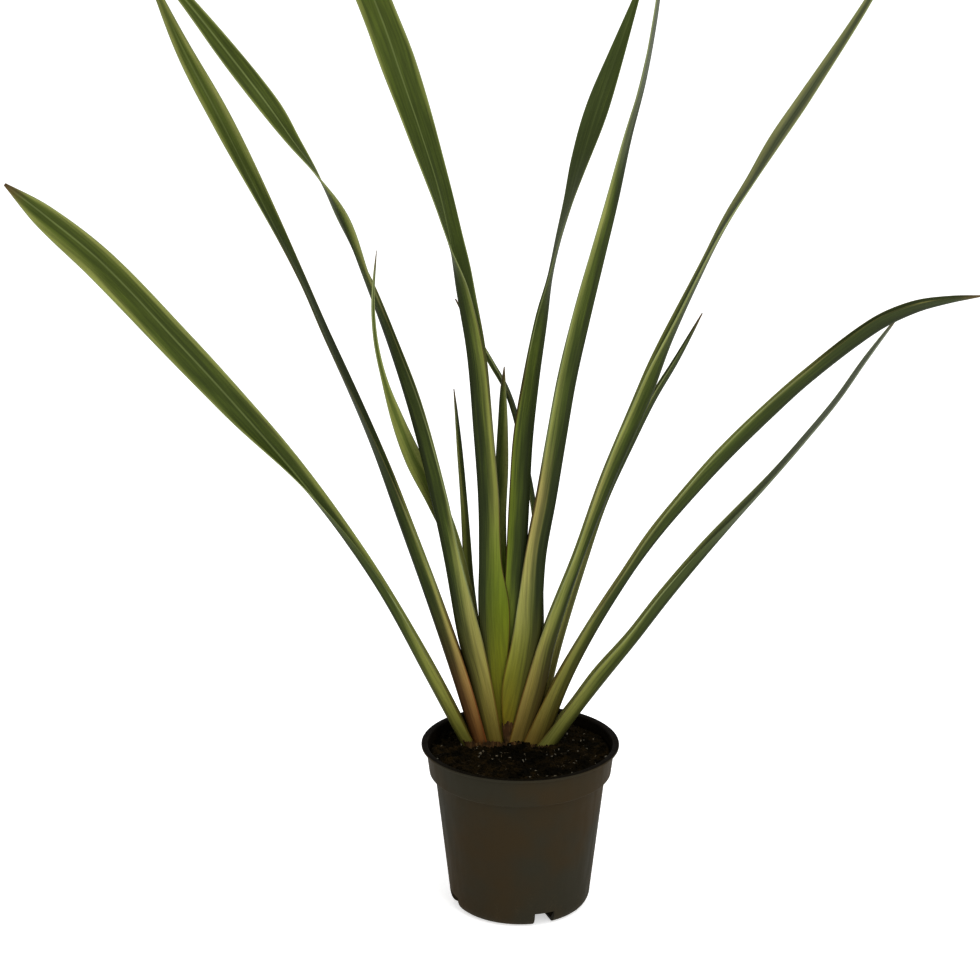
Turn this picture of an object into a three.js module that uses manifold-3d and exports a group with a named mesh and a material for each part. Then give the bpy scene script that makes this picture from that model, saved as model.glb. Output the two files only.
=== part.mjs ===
// A variegated New Zealand flax in a round plastic nursery pot.
// Millimetres, +Z up. The origin is the middle of the pot's flat underside, on the surface it stands on.
// +X is to the viewer's right and -Y is towards the viewer, so the leaf fan spreads in the XZ plane.
// Pieces: the pot, the potting soil, the short woody crown in it, and fourteen leaves in two fans.

import * as THREE from "three";
import { mergeVertices } from "three/addons/utils/BufferGeometryUtils.js";
import Module from "manifold-3d";

const wasm = await Module();
wasm.setup();

// Driving dimensions of the pot
const POT_HEIGHT = 112;
const RIM_RADIUS = 65;
const BAND_TOP_RADIUS = 62;
const BAND_FOOT_RADIUS = 59.8;
const BAND_HEIGHT = 20;
const STEP_HEIGHT = 2.2;
const LIP_HEIGHT = 2;
const LIP_CORNER = 0.5;
const BODY_TOP_RADIUS = 56;
const BODY_FOOT_RADIUS = 46.8;
const FOOT_RADIUS = 40;
const FOOT_CORNER_HEIGHT = 9;
const FOOT_CORNER_STEPS = 5;
const WALL = 1.4;
const FLOOR = 1.8;
const POT_SIDES = 48;

// Drainage notches in the foot: their middles, as angles from the front, turning to the right
const NOTCH_ANGLES = [20, 110, 200, 290];
const NOTCH_WIDTH = 13.6;
const NOTCH_HEIGHT = 9.5;
const NOTCH_INNER_RADIUS = 27;
const NOTCH_OUTER_RADIUS = 51;

// Driving dimensions of the soil and of the crown buried in it
const GAP = 0.3;
const SOIL_EDGE = 105;
const SOIL_RINGS = [6, 13, 20, 27, 34, 41, 48, 53, 57];
const SOIL_TOP_RADIUS = 59.3;
const SOIL_TOP_CORNER = 104.5;
const MOUND_RISE = 3.4;
const MOUND_SPREAD = 24;
const MOUND_STRETCH = 1.4;
const MOUND_DEPTH = 12;
const HOLE_FLOOR = 86;
const LEAF_SEAT = 101.8;
const FAN_DEPTH = 8;

// Gentle lumps of the soil: each one's height, how fast it turns with x and with y, and where it starts
const LUMPS = [
  { height: 0.9, turnX: 0.21, turnY: 0.17, start: 1.3 },
  { height: 0.6, turnX: -0.12, turnY: 0.33, start: 0 },
];

// The two fans stand in plain holes: each hole is a slot with round ends
const HOLES = [
  { left: -42, right: 28, depth: FAN_DEPTH, radius: 9.5 },
  { left: -33, right: 19, depth: 27, radius: 12 },
];
const CROWN_ROUNDING = 2;

// Leaf blades
const KEEL_THICKNESS = 1.3;
const MARGIN_THICKNESS = 0.7;
const LEAF_STEP = 17;
const KEEL_SHOULDER = 0.2;

// Each row of a leaf: x, y, z of its keel, half its width, half the angle it is folded open,
// and how far its channel is rolled from the fan's plane towards the viewer.
// opens is +1 where the channel faces right and -1 where it faces left; keel is half the keel's breadth.
const LEAVES = [
  {
    name: "leaf_left_low",
    opens: 1,
    keel: 1.6,
    rows: [
      [-34, 8, 98, 8, 12, 0],
      [-60.5, 7, 152, 8.7, 14, 0],
      [-88.5, 2, 210, 6.8, 22, 4],
      [-113, -3, 252, 7.4, 38, 8],
      [-142.5, -9, 296, 8, 50, 35],
      [-180, -17, 346, 9.6, 66, 78],
      [-212, -26, 387, 11, 68, 95],
      [-254, -36, 438, 11.4, 68, 100],
      [-287, -42, 469, 8, 70, 100],
      [-309, -46, 488, 0.7, 70, 100],
    ],
  },
  {
    name: "leaf_left_outer",
    opens: 1,
    keel: 1.6,
    rows: [
      [-28, 8, 98, 9, 10, 0],
      [-43.5, 8, 152, 10.3, 10, 0],
      [-61, 10, 207, 9.4, 13, 0],
      [-79, 13, 260, 8.4, 26, 2],
      [-97.5, 18, 313, 8.5, 58, 4],
      [-124, 26, 376, 8.3, 76, 6],
      [-140, 31, 414, 8.2, 78, 8],
      [-165, 39, 464, 8.1, 75, 26],
      [-189.5, 47, 513, 7.6, 76, 50],
      [-213.5, 54, 559, 5, 76, 78],
      [-236, 61, 610, 0.6, 76, 80],
    ],
  },
  {
    name: "leaf_left_twisted",
    opens: 1,
    keel: 1.3,
    rows: [
      [-21, 8, 98, 11.5, 10, 0],
      [-33, 8, 152, 14.2, 9, 0],
      [-40, 9, 180, 15.2, 9, 0],
      [-49, 10, 234, 10.2, 10, 0],
      [-57, 11, 274, 10, 14, 0],
      [-69.5, 12, 327, 9.3, 22, 2],
      [-83, 16, 372, 9.3, 50, 0],
      [-99, 20, 417, 9, 65, -6],
      [-113, 25, 453, 8.6, 76, -32],
      [-127, 28, 480, 8.3, 86, -5],
      [-143.5, 31, 503, 7.7, 86, 26],
      [-158.5, 34, 524.5, 7.3, 80, 57],
      [-184, 38, 558, 6.2, 76, 82],
      [-208, 42, 588, 4, 76, 84],
      [-248, 47, 635, 0.6, 76, 84],
    ],
  },
  {
    name: "leaf_left_tall",
    opens: 1,
    keel: 0.5,
    rows: [
      [-18, 8, 98, 8.5, 5, 0],
      [-23, 8, 141, 13, 6, 0],
      [-26, 8, 180, 19, 6, 0],
      [-27, 8, 207, 19.6, 6, 0],
      [-26.5, 8, 235, 14.3, 8, 0],
      [-27, 7, 276, 13.2, 12, 0],
      [-30, 6, 322, 12.4, 16, 3],
      [-34, 5, 372, 12, 22, 6],
      [-40.5, 4, 413, 11.4, 32, 14],
      [-44.5, 2, 442, 11.9, 66, 20],
      [-51.5, 0, 476, 11.9, 80, 29],
      [-62, -3, 511.5, 11.9, 82, 45],
      [-73, -6, 545.5, 11.6, 80, 62],
      [-83.5, -9, 578, 10.5, 78, 88],
      [-98, -13, 616, 10, 78, 95],
      [-111, -17, 648, 7.4, 78, 95],
      [-127, -22, 691, 0.6, 78, 95],
    ],
  },
  {
    name: "leaf_centre_dark",
    opens: -1,
    keel: 0.4,
    rows: [
      [-6, 8, 98, 3, 3, 0],
      [-3, 8, 145, 8, 3, 0],
      [0, 8, 194, 11.6, 3, 0],
      [3, 8, 235, 12.6, 5, 0],
      [5, 10, 275, 12.8, 8, 0],
      [7, 12, 314, 12.5, 12, 0],
      [11, 15, 353, 11.4, 30, 0],
      [16, 18, 391, 10.3, 46, 0],
      [19, 20, 417, 9.8, 74, 0],
      [24, 23, 441, 9.3, 80, 4],
      [31, 26, 466, 8.8, 78, 14],
      [37.5, 29, 491, 8.2, 78, 37],
      [48, 33, 525, 7.4, 78, 72],
      [58.5, 37, 555, 5.1, 78, 82],
      [76, 43, 605, 0.6, 78, 84],
    ],
  },
  {
    name: "leaf_right_tall",
    opens: -1,
    keel: 1.4,
    rows: [
      [-4, 8, 98, 5.5, 9, 0],
      [6, 8, 141, 19, 9, 0],
      [13, 8, 180, 19, 9, 0],
      [14, 8, 207, 16, 9, 0],
      [16, 7, 239, 13.6, 10, 0],
      [22, 5, 276, 13, 12, 0],
      [28, 2, 317, 12.5, 14, 0],
      [34, -2, 357, 12, 18, 0],
      [42, -6, 397, 11.6, 22, -4],
      [50, -11, 435, 11, 34, -6],
      [58, -16, 473, 10.2, 48, -8],
      [65, -21, 511, 9.2, 64, -8],
      [73, -26, 547, 8.2, 70, -6],
      [78.5, -31, 583, 7.2, 72, -6],
      [82, -35, 618, 5.2, 72, 0],
      [86, -42, 661, 0.6, 72, 0],
    ],
  },
  {
    name: "leaf_right_upright",
    opens: -1,
    keel: 1.6,
    rows: [
      [4, 8, 98, 14.4, 9, 0],
      [16, 8, 145, 14, 9, 0],
      [23, 8, 180, 10.6, 10, 0],
      [40, 9, 235, 8, 34, 0],
      [60, 12, 288, 9.2, 18, 0],
      [82, 18, 339, 10.3, 20, 0],
      [96, 24, 377, 10, 54, 0],
      [119, 34, 427, 9.3, 72, 0],
      [131.5, 39, 451, 9, 76, 4],
      [147, 44, 476, 8.6, 78, 8],
      [162.5, 49, 500.5, 8.1, 74, 20],
      [179, 54, 525, 7.4, 76, 24],
      [211, 62, 574, 4, 76, 30],
      [240, 69, 624, 0.6, 76, 34],
    ],
  },
  {
    name: "leaf_right_arching",
    opens: -1,
    keel: 1.3,
    rows: [
      [14, 8, 98, 16, 9, 0],
      [30, 8, 145, 10.6, 9, 0],
      [46, 6, 181, 7.8, 12, 0],
      [69, 3, 223, 7, 35, 0],
      [87, 0, 251, 7.8, 28, 0],
      [107.5, -4, 278.5, 8.7, 26, -4],
      [130, -9, 306.5, 9.7, 26, -6],
      [154.5, -15, 334.5, 9.8, 28, -8],
      [180, -21, 361.5, 9.6, 36, -8],
      [217, -32, 395, 9.6, 34, -8],
      [239, -37, 408, 8.4, 40, -6],
      [259, -41, 415, 5.4, 50, -4],
      [279, -45, 420, 0.6, 60, 0],
    ],
  },
  {
    name: "leaf_right_low",
    opens: -1,
    keel: 2.1,
    rows: [
      [18, 8, 98, 11.5, 9, 0],
      [39, 8, 129, 9.4, 9, 0],
      [56, 9, 152, 10, 12, 0],
      [76.5, 11, 178.5, 8.3, 16, 0],
      [96, 14, 204.5, 8.1, 18, 0],
      [117.5, 17, 231.5, 7.6, 28, 0],
      [140, 21, 258, 7.4, 54, 0],
      [162.5, 25, 283.5, 7, 67, 0],
      [184.5, 29, 309.5, 6.4, 72, 0],
      [205, 33, 335, 5.4, 74, 0],
      [223, 37, 361, 4, 64, 0],
      [244, 41, 391, 0.6, 50, 0],
    ],
  },
  {
    name: "leaf_rear_right",
    opens: -1,
    keel: 0.8,
    rows: [
      [12, 24, 98, 7.5, 12, 0],
      [20, 25, 138, 8, 12, 0],
      [28, 26, 173, 8, 14, 0],
      [44, 30, 228, 8, 18, 0],
      [57, 35, 267, 7.8, 24, 0],
      [75, 42, 306, 7, 40, 0],
      [88, 47, 332, 5.8, 48, 0],
      [102.5, 52, 356.5, 4.1, 45, 0],
      [118, 57, 387, 0.6, 45, 0],
    ],
  },
  {
    name: "leaf_rear_left",
    opens: 1,
    keel: 0.8,
    rows: [
      [-24, 23, 98, 7, 14, 0],
      [-27, 23, 146, 7, 14, 0],
      [-34, 23, 188, 7, 25, 10],
      [-45, 23, 237, 7, 50, 35],
      [-56, 22, 271, 6.6, 70, 60],
      [-69, 20, 299, 6, 75, 72],
      [-79, 16, 326, 4.3, 76, 76],
      [-87, 11, 354, 2.1, 76, 70],
      [-92, 6, 381, 1.5, 76, 50],
      [-93, 2, 408, 1.2, 76, 30],
      [-90, -4, 440, 0.5, 76, 20],
    ],
  },
  {
    name: "leaf_rear_slender",
    opens: -1,
    keel: 0.6,
    rows: [
      [-19, 33, 98, 7, 12, 0],
      [-24, 33, 135, 7.5, 14, 0],
      [-27, 34, 177, 7.2, 14, 0],
      [-31, 34, 212, 6.4, 16, 0],
      [-33, 34, 240, 5.4, 18, 0],
      [-35.5, 35, 271, 4.2, 20, 0],
      [-38.5, 37, 304, 3.3, 22, 0],
      [-43, 39, 341, 0.6, 24, 0],
    ],
  },
  {
    name: "leaf_rear_centre",
    opens: 1,
    keel: 0.7,
    rows: [
      [-13, 25, 98, 8, 10, 0],
      [-13, 26, 138, 8.6, 10, 0],
      [-16, 27, 201, 8.4, 10, 0],
      [-17, 28, 256, 7.8, 12, 0],
      [-16, 28, 293, 8.2, 14, 0],
      [-14.5, 28, 320, 6.4, 18, 0],
      [-13, 29, 343, 3.8, 24, 0],
      [-11, 30, 358, 0.6, 28, 0],
    ],
  },
  {
    name: "leaf_rear_crossing",
    opens: -1,
    keel: 0.6,
    rows: [
      [8, 33, 98, 6.5, 12, 0],
      [15, 33, 164, 7, 14, 0],
      [15, 33, 199, 6.6, 20, 0],
      [14, 34, 230, 6, 35, 0],
      [11, 35, 257, 5, 50, 0],
      [7, 36, 281, 4.8, 52, 0],
      [-1, 39, 320, 4.6, 52, 10],
      [-8, 41, 341, 4.3, 54, 20],
      [-17.5, 44, 357.5, 4, 55, 30],
      [-30, 48, 378, 3, 60, 30],
      [-42, 51, 398, 0.6, 60, 30],
    ],
  },
];

// Colours, from the photograph
const potPlastic = new THREE.MeshStandardMaterial({ color: 0x3b3228, roughness: 0.62, metalness: 0 });
const soilDark = new THREE.MeshStandardMaterial({ color: 0x1d150e, roughness: 1, metalness: 0 });
const crownBrown = new THREE.MeshStandardMaterial({ color: 0x4a3420, roughness: 0.9, metalness: 0 });
const leafGreen = new THREE.MeshStandardMaterial({ color: 0x4b5c2a, roughness: 0.5, metalness: 0 });

function namedMesh(name, geometry, material) {
  const mesh = new THREE.Mesh(geometry, material);
  mesh.name = name;
  return mesh;
}

// A closed geometry as a solid, for cuts and joins
function solidOf(geometry) {
  const bare = geometry.clone();
  bare.deleteAttribute("normal");
  bare.deleteAttribute("uv");
  const merged = mergeVertices(bare, 1e-4);
  return new wasm.Manifold(
    new wasm.Mesh({
      numProp: 3,
      vertProperties: new Float32Array(merged.attributes.position.array),
      triVerts: new Uint32Array(merged.index.array),
    }),
  );
}

function geometryOf(solid) {
  const mesh = solid.getMesh();
  const geometry = new THREE.BufferGeometry();
  geometry.setAttribute("position", new THREE.BufferAttribute(mesh.vertProperties, 3));
  geometry.setIndex(new THREE.BufferAttribute(mesh.triVerts, 1));
  return geometry;
}

// A body of revolution about +Z from a profile of radius and height that runs from the axis to the axis
function turned(profile) {
  const points = profile.map(([radius, height]) => new THREE.Vector2(radius, height));
  return new THREE.LatheGeometry(points, POT_SIDES).rotateX(Math.PI / 2);
}

// Points on a quarter of an ellipse between two profile corners, bulging out and down
function roundedFoot(inner, outer, height, steps) {
  const points = [];
  for (let i = 0; i <= steps; i += 1) {
    const angle = (i / steps) * (Math.PI / 2);
    points.push([inner + (outer - inner) * Math.sin(angle), height * (1 - Math.cos(angle))]);
  }
  return points;
}

function makePot() {
  const bandFoot = POT_HEIGHT - BAND_HEIGHT;
  const lipFoot = POT_HEIGHT - LIP_HEIGHT;
  const outside = [
    [0, 0],
    ...roundedFoot(FOOT_RADIUS, BODY_FOOT_RADIUS, FOOT_CORNER_HEIGHT, FOOT_CORNER_STEPS),
    [BODY_TOP_RADIUS, bandFoot - STEP_HEIGHT],
    [BAND_FOOT_RADIUS, bandFoot],
    [BAND_TOP_RADIUS, lipFoot - LIP_CORNER],
  ];
  const lip = [
    [RIM_RADIUS - LIP_CORNER, lipFoot],
    [RIM_RADIUS, lipFoot + LIP_CORNER],
    [RIM_RADIUS, POT_HEIGHT - LIP_CORNER],
    [RIM_RADIUS - LIP_CORNER, POT_HEIGHT],
    [BAND_TOP_RADIUS - LIP_CORNER, POT_HEIGHT],
    [BAND_TOP_RADIUS - WALL, POT_HEIGHT - 2 * LIP_CORNER],
  ];
  const inside = [
    [BAND_FOOT_RADIUS - WALL, bandFoot + LIP_CORNER],
    [BODY_TOP_RADIUS - WALL, bandFoot - STEP_HEIGHT - LIP_CORNER],
    [BODY_FOOT_RADIUS - WALL, FOOT_CORNER_HEIGHT],
    [FOOT_RADIUS, FLOOR],
    [0, FLOOR],
  ];
  return geometryOf(withoutNotches(solidOf(turned([...outside, ...lip, ...inside])), 0));
}

// The notches go through the pot's corner and the edge of its floor, and the soil is hollow behind them
function withoutNotches(solid, extra) {
  const reach = NOTCH_OUTER_RADIUS - NOTCH_INNER_RADIUS + extra;
  let cut = solid;
  for (const degrees of NOTCH_ANGLES) {
    const angle = THREE.MathUtils.degToRad(degrees);
    const middle = NOTCH_OUTER_RADIUS - reach / 2;
    const cutter = new THREE.BoxGeometry(NOTCH_WIDTH + 2 * extra, reach, 2 * (NOTCH_HEIGHT + extra));
    cutter.rotateZ(angle);
    cutter.translate(middle * Math.sin(angle), -middle * Math.cos(angle), 0);
    cut = cut.subtract(solidOf(cutter));
  }
  return cut;
}

// Height of the soil: a low mound round the leaf bases, and gentle lumps
function soilHeight(x, y) {
  const away = Math.hypot(x / MOUND_STRETCH, y - MOUND_DEPTH);
  let height = SOIL_EDGE + MOUND_RISE * Math.exp(-((away / MOUND_SPREAD) ** 2));
  for (const lump of LUMPS) {
    height += lump.height * Math.sin(lump.turnX * x + lump.turnY * y + lump.start);
  }
  return height;
}

// A slot with round ends, as a prism between two heights, with its edges rounded if asked
function slotPrism({ left, right, depth, radius }, low, high, rounding) {
  const outline = new THREE.Shape();
  outline.absarc(right - radius, depth, radius, -Math.PI / 2, Math.PI / 2, false);
  outline.absarc(left + radius, depth, radius, Math.PI / 2, (3 * Math.PI) / 2, false);
  outline.closePath();
  const prism = new THREE.ExtrudeGeometry(outline, {
    depth: high - low - 2 * rounding,
    bevelEnabled: rounding > 0,
    bevelThickness: rounding,
    bevelSize: rounding,
    bevelOffset: -rounding,
    bevelSegments: 2,
    curveSegments: 8,
  });
  return prism.translate(0, 0, low + rounding);
}

// The soil fills the pot to its wall, with a small gap, and has the two holes
function makeSoil() {
  const bandFoot = POT_HEIGHT - BAND_HEIGHT;
  const bottom = FLOOR + GAP;
  const wallGap = WALL + GAP;
  const wallRings = [
    [BAND_FOOT_RADIUS - wallGap, bandFoot + LIP_CORNER + GAP],
    [BODY_TOP_RADIUS - wallGap, bandFoot - STEP_HEIGHT - LIP_CORNER + GAP],
    [BODY_FOOT_RADIUS - wallGap, FOOT_CORNER_HEIGHT + 2 * GAP],
    [FOOT_RADIUS - 3 * GAP, bottom],
    [FOOT_RADIUS / 2, bottom],
  ];
  const points = [];
  const rings = [];
  const addRing = (radius, heightAt) => {
    const ring = [];
    for (let i = 0; i < POT_SIDES; i += 1) {
      const angle = (2 * Math.PI * i) / POT_SIDES;
      const x = radius * Math.sin(angle);
      const y = -radius * Math.cos(angle);
      ring.push(points.length / 3);
      points.push(x, y, heightAt(x, y));
    }
    rings.push(ring);
  };
  const topCentre = 0;
  points.push(0, 0, soilHeight(0, 0));
  for (const radius of SOIL_RINGS) {
    addRing(radius, soilHeight);
  }
  addRing(SOIL_TOP_RADIUS, () => SOIL_TOP_CORNER);
  for (const [radius, height] of wallRings) {
    addRing(radius, () => height);
  }
  const lowCentre = points.length / 3;
  points.push(0, 0, bottom);

  const faces = [];
  for (let i = 0; i < POT_SIDES; i += 1) {
    const next = (i + 1) % POT_SIDES;
    faces.push(topCentre, rings[0][i], rings[0][next]);
    for (let r = 0; r + 1 < rings.length; r += 1) {
      faces.push(rings[r][i], rings[r + 1][i], rings[r + 1][next]);
      faces.push(rings[r][i], rings[r + 1][next], rings[r][next]);
    }
    const last = rings[rings.length - 1];
    faces.push(last[i], lowCentre, last[next]);
  }
  const geometry = new THREE.BufferGeometry();
  geometry.setAttribute("position", new THREE.Float32BufferAttribute(points, 3));
  geometry.setIndex(faces);
  let soil = withoutNotches(solidOf(geometry), GAP);
  for (const hole of HOLES) {
    soil = soil.subtract(solidOf(slotPrism(hole, HOLE_FLOOR, POT_HEIGHT, 0)));
  }
  return geometryOf(soil);
}

// The crown is the short woody stem that the leaves grow from: it fills the foot of both holes
function makeCrown() {
  const low = HOLE_FLOOR + GAP;
  const high = LEAF_SEAT - GAP;
  const shrunk = HOLES.map((hole) => ({
    left: hole.left + GAP,
    right: hole.right - GAP,
    depth: hole.depth,
    radius: hole.radius - GAP,
  }));
  const [front, rear] = shrunk.map((slot) => solidOf(slotPrism(slot, low, high, CROWN_ROUNDING)));
  return geometryOf(front.add(rear));
}

// Smooth values between a leaf's rows, by Hermite curves over the length of its keel
function leafTrack(rows) {
  const knots = [0];
  for (let i = 1; i < rows.length; i += 1) {
    const [x, y, z] = rows[i];
    const [px, py, pz] = rows[i - 1];
    knots.push(knots[i - 1] + Math.hypot(x - px, y - py, z - pz));
  }
  const slope = (i, k) => {
    const before = Math.max(i - 1, 0);
    const after = Math.min(i + 1, rows.length - 1);
    return (rows[after][k] - rows[before][k]) / (knots[after] - knots[before]);
  };
  const at = (s) => {
    let i = 0;
    while (i < rows.length - 2 && s > knots[i + 1]) {
      i += 1;
    }
    const span = knots[i + 1] - knots[i];
    const t = (s - knots[i]) / span;
    const h1 = t * t * (3 - 2 * t);
    const h2 = t * (1 - t) * (1 - t) * span;
    const h3 = t * t * (t - 1) * span;
    return rows[i].map((value, k) => value + (rows[i + 1][k] - value) * h1 + slope(i, k) * h2 + slope(i + 1, k) * h3);
  };
  return { length: knots[knots.length - 1], at };
}

// One cross-section of a leaf, as points across it from one margin to the other:
// the outer face and the inner face of a folded blade with a blunt keel
function leafSection(track, s, leaf) {
  const [x, y, z, halfWidth, openDegrees, rollDegrees] = track.at(s);
  const step = 1;
  const ahead = track.at(Math.min(s + step, track.length));
  const behind = track.at(Math.max(s - step, 0));
  const along = new THREE.Vector3(ahead[0] - behind[0], ahead[1] - behind[1], ahead[2] - behind[2]).normalize();
  const depthways = new THREE.Vector3(0, 1, 0).addScaledVector(along, -along.y).normalize();
  const inward = new THREE.Vector3().crossVectors(depthways, along).multiplyScalar(leaf.opens);
  const roll = THREE.MathUtils.degToRad(rollDegrees);
  const mouth = inward.clone().multiplyScalar(Math.cos(roll)).addScaledVector(depthways, -Math.sin(roll));
  const sideways = depthways.clone().multiplyScalar(Math.cos(roll)).addScaledVector(inward, Math.sin(roll));
  const open = THREE.MathUtils.degToRad(openDegrees);
  const keel = leaf.keel * Math.cos(open) ** 2;
  const centre = new THREE.Vector3(x, y, z);
  const place = (out, side) => centre.clone().addScaledVector(mouth, out).addScaledVector(sideways, side);
  const outer = [];
  const inner = [];
  for (const u of [-1, -KEEL_SHOULDER, 0, KEEL_SHOULDER, 1]) {
    const thick = THREE.MathUtils.lerp(KEEL_THICKNESS, MARGIN_THICKNESS, Math.min(1, Math.abs(u) + s / track.length));
    const half = thick / 2;
    const hand = Math.sign(u);
    const reach = Math.abs(u) * halfWidth;
    const out = reach * Math.cos(open);
    const side = hand * (keel + reach * Math.sin(open));
    const normalOut = hand === 0 ? -half : -half * Math.sin(open);
    const normalSide = hand * half * Math.cos(open);
    outer.push(place(out + normalOut, side + normalSide));
    inner.push(place(out - normalOut, side - normalSide));
  }
  return { outer, inner, along, centre };
}

// A leaf is a closed strip of sections, its foot cut level where it sits on the crown
function makeLeaf(leaf) {
  const track = leafTrack(leaf.rows);
  const count = Math.ceil(track.length / LEAF_STEP);
  const across = 5;
  const points = [];
  for (let i = 0; i <= count; i += 1) {
    const { outer, inner, along } = leafSection(track, (track.length * i) / count, leaf);
    for (const point of [...outer, ...inner]) {
      if (i === 0) {
        point.addScaledVector(along, (LEAF_SEAT - point.z) / along.z);
      }
      points.push(point.x, point.y, point.z);
    }
  }
  const outerAt = (i, j) => i * 2 * across + j;
  const innerAt = (i, j) => i * 2 * across + across + j;
  const faces = [];
  const quad = (a, b, c, d) => faces.push(a, b, c, a, c, d);
  for (let i = 0; i < count; i += 1) {
    for (let j = 0; j + 1 < across; j += 1) {
      faces.push(outerAt(i, j), outerAt(i + 1, j), outerAt(i + 1, j + 1));
      faces.push(outerAt(i, j), outerAt(i + 1, j + 1), outerAt(i, j + 1));
      faces.push(innerAt(i, j), innerAt(i + 1, j + 1), innerAt(i + 1, j));
      faces.push(innerAt(i, j), innerAt(i, j + 1), innerAt(i + 1, j + 1));
    }
    quad(outerAt(i, 0), innerAt(i, 0), innerAt(i + 1, 0), outerAt(i + 1, 0));
    const edge = across - 1;
    quad(innerAt(i, edge), outerAt(i, edge), outerAt(i + 1, edge), innerAt(i + 1, edge));
  }
  for (let j = 0; j + 1 < across; j += 1) {
    quad(outerAt(0, j), outerAt(0, j + 1), innerAt(0, j + 1), innerAt(0, j));
    quad(outerAt(count, j + 1), outerAt(count, j), innerAt(count, j), innerAt(count, j + 1));
  }
  if (leaf.opens < 0) {
    for (let f = 0; f < faces.length; f += 3) {
      [faces[f + 1], faces[f + 2]] = [faces[f + 2], faces[f + 1]];
    }
  }
  const geometry = new THREE.BufferGeometry();
  geometry.setAttribute("position", new THREE.Float32BufferAttribute(points, 3));
  geometry.setIndex(faces);
  return geometry;
}

const plant = new THREE.Group();
plant.add(namedMesh("pot", makePot(), potPlastic));
plant.add(namedMesh("soil", makeSoil(), soilDark));
plant.add(namedMesh("crown", makeCrown(), crownBrown));
for (const leaf of LEAVES) {
  plant.add(namedMesh(leaf.name, makeLeaf(leaf), leafGreen));
}

export default plant;
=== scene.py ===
import bmesh
import bpy
import math
import random
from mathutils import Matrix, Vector, noise


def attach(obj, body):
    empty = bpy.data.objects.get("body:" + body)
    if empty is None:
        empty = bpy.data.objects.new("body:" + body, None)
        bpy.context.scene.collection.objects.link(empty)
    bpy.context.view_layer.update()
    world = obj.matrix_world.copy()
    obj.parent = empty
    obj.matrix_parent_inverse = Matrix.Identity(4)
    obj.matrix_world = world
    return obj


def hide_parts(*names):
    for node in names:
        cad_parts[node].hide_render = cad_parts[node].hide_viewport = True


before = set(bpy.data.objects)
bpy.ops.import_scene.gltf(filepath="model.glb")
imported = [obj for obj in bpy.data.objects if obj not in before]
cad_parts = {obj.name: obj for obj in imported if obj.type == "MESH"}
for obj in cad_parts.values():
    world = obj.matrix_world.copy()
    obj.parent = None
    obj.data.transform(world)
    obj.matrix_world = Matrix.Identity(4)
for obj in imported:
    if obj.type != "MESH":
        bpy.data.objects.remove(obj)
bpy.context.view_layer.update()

MM = 0.001

# The pot
POT_HEIGHT = 112
RIM_RADIUS = 65
BAND_TOP_RADIUS = 62
BAND_FOOT_RADIUS = 59.8
BAND_HEIGHT = 20
STEP_HEIGHT = 2.2
LIP_HEIGHT = 2
LIP_CORNER = 0.5
BODY_TOP_RADIUS = 56
BODY_FOOT_RADIUS = 46.8
FOOT_RADIUS = 40
FOOT_CORNER_HEIGHT = 9
WALL = 1.4
FLOOR = 1.8
BAND_FOOT_HEIGHT = POT_HEIGHT - BAND_HEIGHT
POT_SIDES = 192
FOOT_STEPS = 10
CORNER_ROUNDING = 0.6
CORNER_STEPS = 3
POT_CREASE_ANGLE = 34

# The middle of the band's wall, as a line: how it leans out with height, and its radius at height 0
WALL_LEAN = (BAND_TOP_RADIUS - BAND_FOOT_RADIUS) / (BAND_HEIGHT - LIP_HEIGHT)
WALL_START = BAND_TOP_RADIUS - WALL / 2 - WALL_LEAN * POT_HEIGHT

# Drainage notches in the foot: their middles, as angles from the front, turning to the right
NOTCH_ANGLES = [20, 110, 200, 290]
NOTCH_WIDTH = 13.6
NOTCH_HEIGHT = 9.5
NOTCH_INNER_RADIUS = 27
NOTCH_OUTER_RADIUS = 51

# The pot is dustiest at its foot, up to one height. Painted shade darkens the inside of its wall from one
# height and fully from the next, and the rim darkens the same way, by depths below the top.
DUST_HEIGHT = 30
INNER_SHADE_FROM = 94
INNER_SHADE_FULL = 96
RIM_DARK_FROM = 0.45
RIM_DARK_FULL = 0.15

# The soil and the crown buried in it
GAP = 0.3
SOIL_EDGE = 105
SOIL_TOP_RADIUS = 59.3
SOIL_TOP_CORNER = 104.5
SOIL_ROUGH_RADIUS = 57.6
SOIL_SIDES = 288
SOIL_RINGS = 46
PATCH_STEPS = 56
MOUND_RISE = 3.4
MOUND_SPREAD = 24
MOUND_STRETCH = 1.4
MOUND_DEPTH = 12
FAN_DEPTH = 8
HOLE_FLOOR = 86
LEAF_SEAT = 101.8
HOLES = [
    {"left": -42, "right": 28, "depth": FAN_DEPTH, "radius": 9.5},
    {"left": -33, "right": 19, "depth": 27, "radius": 12},
]

# Gentle lumps of the soil: height, how fast each turns with x and with y, and where it starts
LUMPS = [(0.9, 0.21, 0.17, 1.3), (0.6, -0.12, 0.33, 0)]

# The clods and crumbs on them: height, breadth and where their pattern starts
CLODS = [(1.1, 8, (0, 0, 0)), (0.7, 3.1, (7, 3, 1))]
CRUMBS = [(0.4, 1.3, (1, 9, 4))]

# Leaf blades
KEEL_THICKNESS = 1.3
MARGIN_THICKNESS = 0.7
BLADE_STEP = 3.6
FOOT_LENGTH = 17
KEEL_SHOULDER = 0.2
EDGE_ROUND_FROM = 0.93
EDGE_ROUND_SPAN = 0.075
TIP_THIN_LENGTH = 14
TIP_THINNEST = 0.2

# An open blade bows between its keel and its edges, by a share of half its width, and ripples towards its
# edges: the ripple's height, the length it stretches over, and how its start differs between the two halves
# and from leaf to leaf
BOW_SHARE = 0.06
RIPPLE_HEIGHT = 0.35
RIPPLE_STRETCH = 21
RIPPLE_HALF_SHIFT = 2.3
RIPPLE_LEAF_SHIFT = 9

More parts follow.
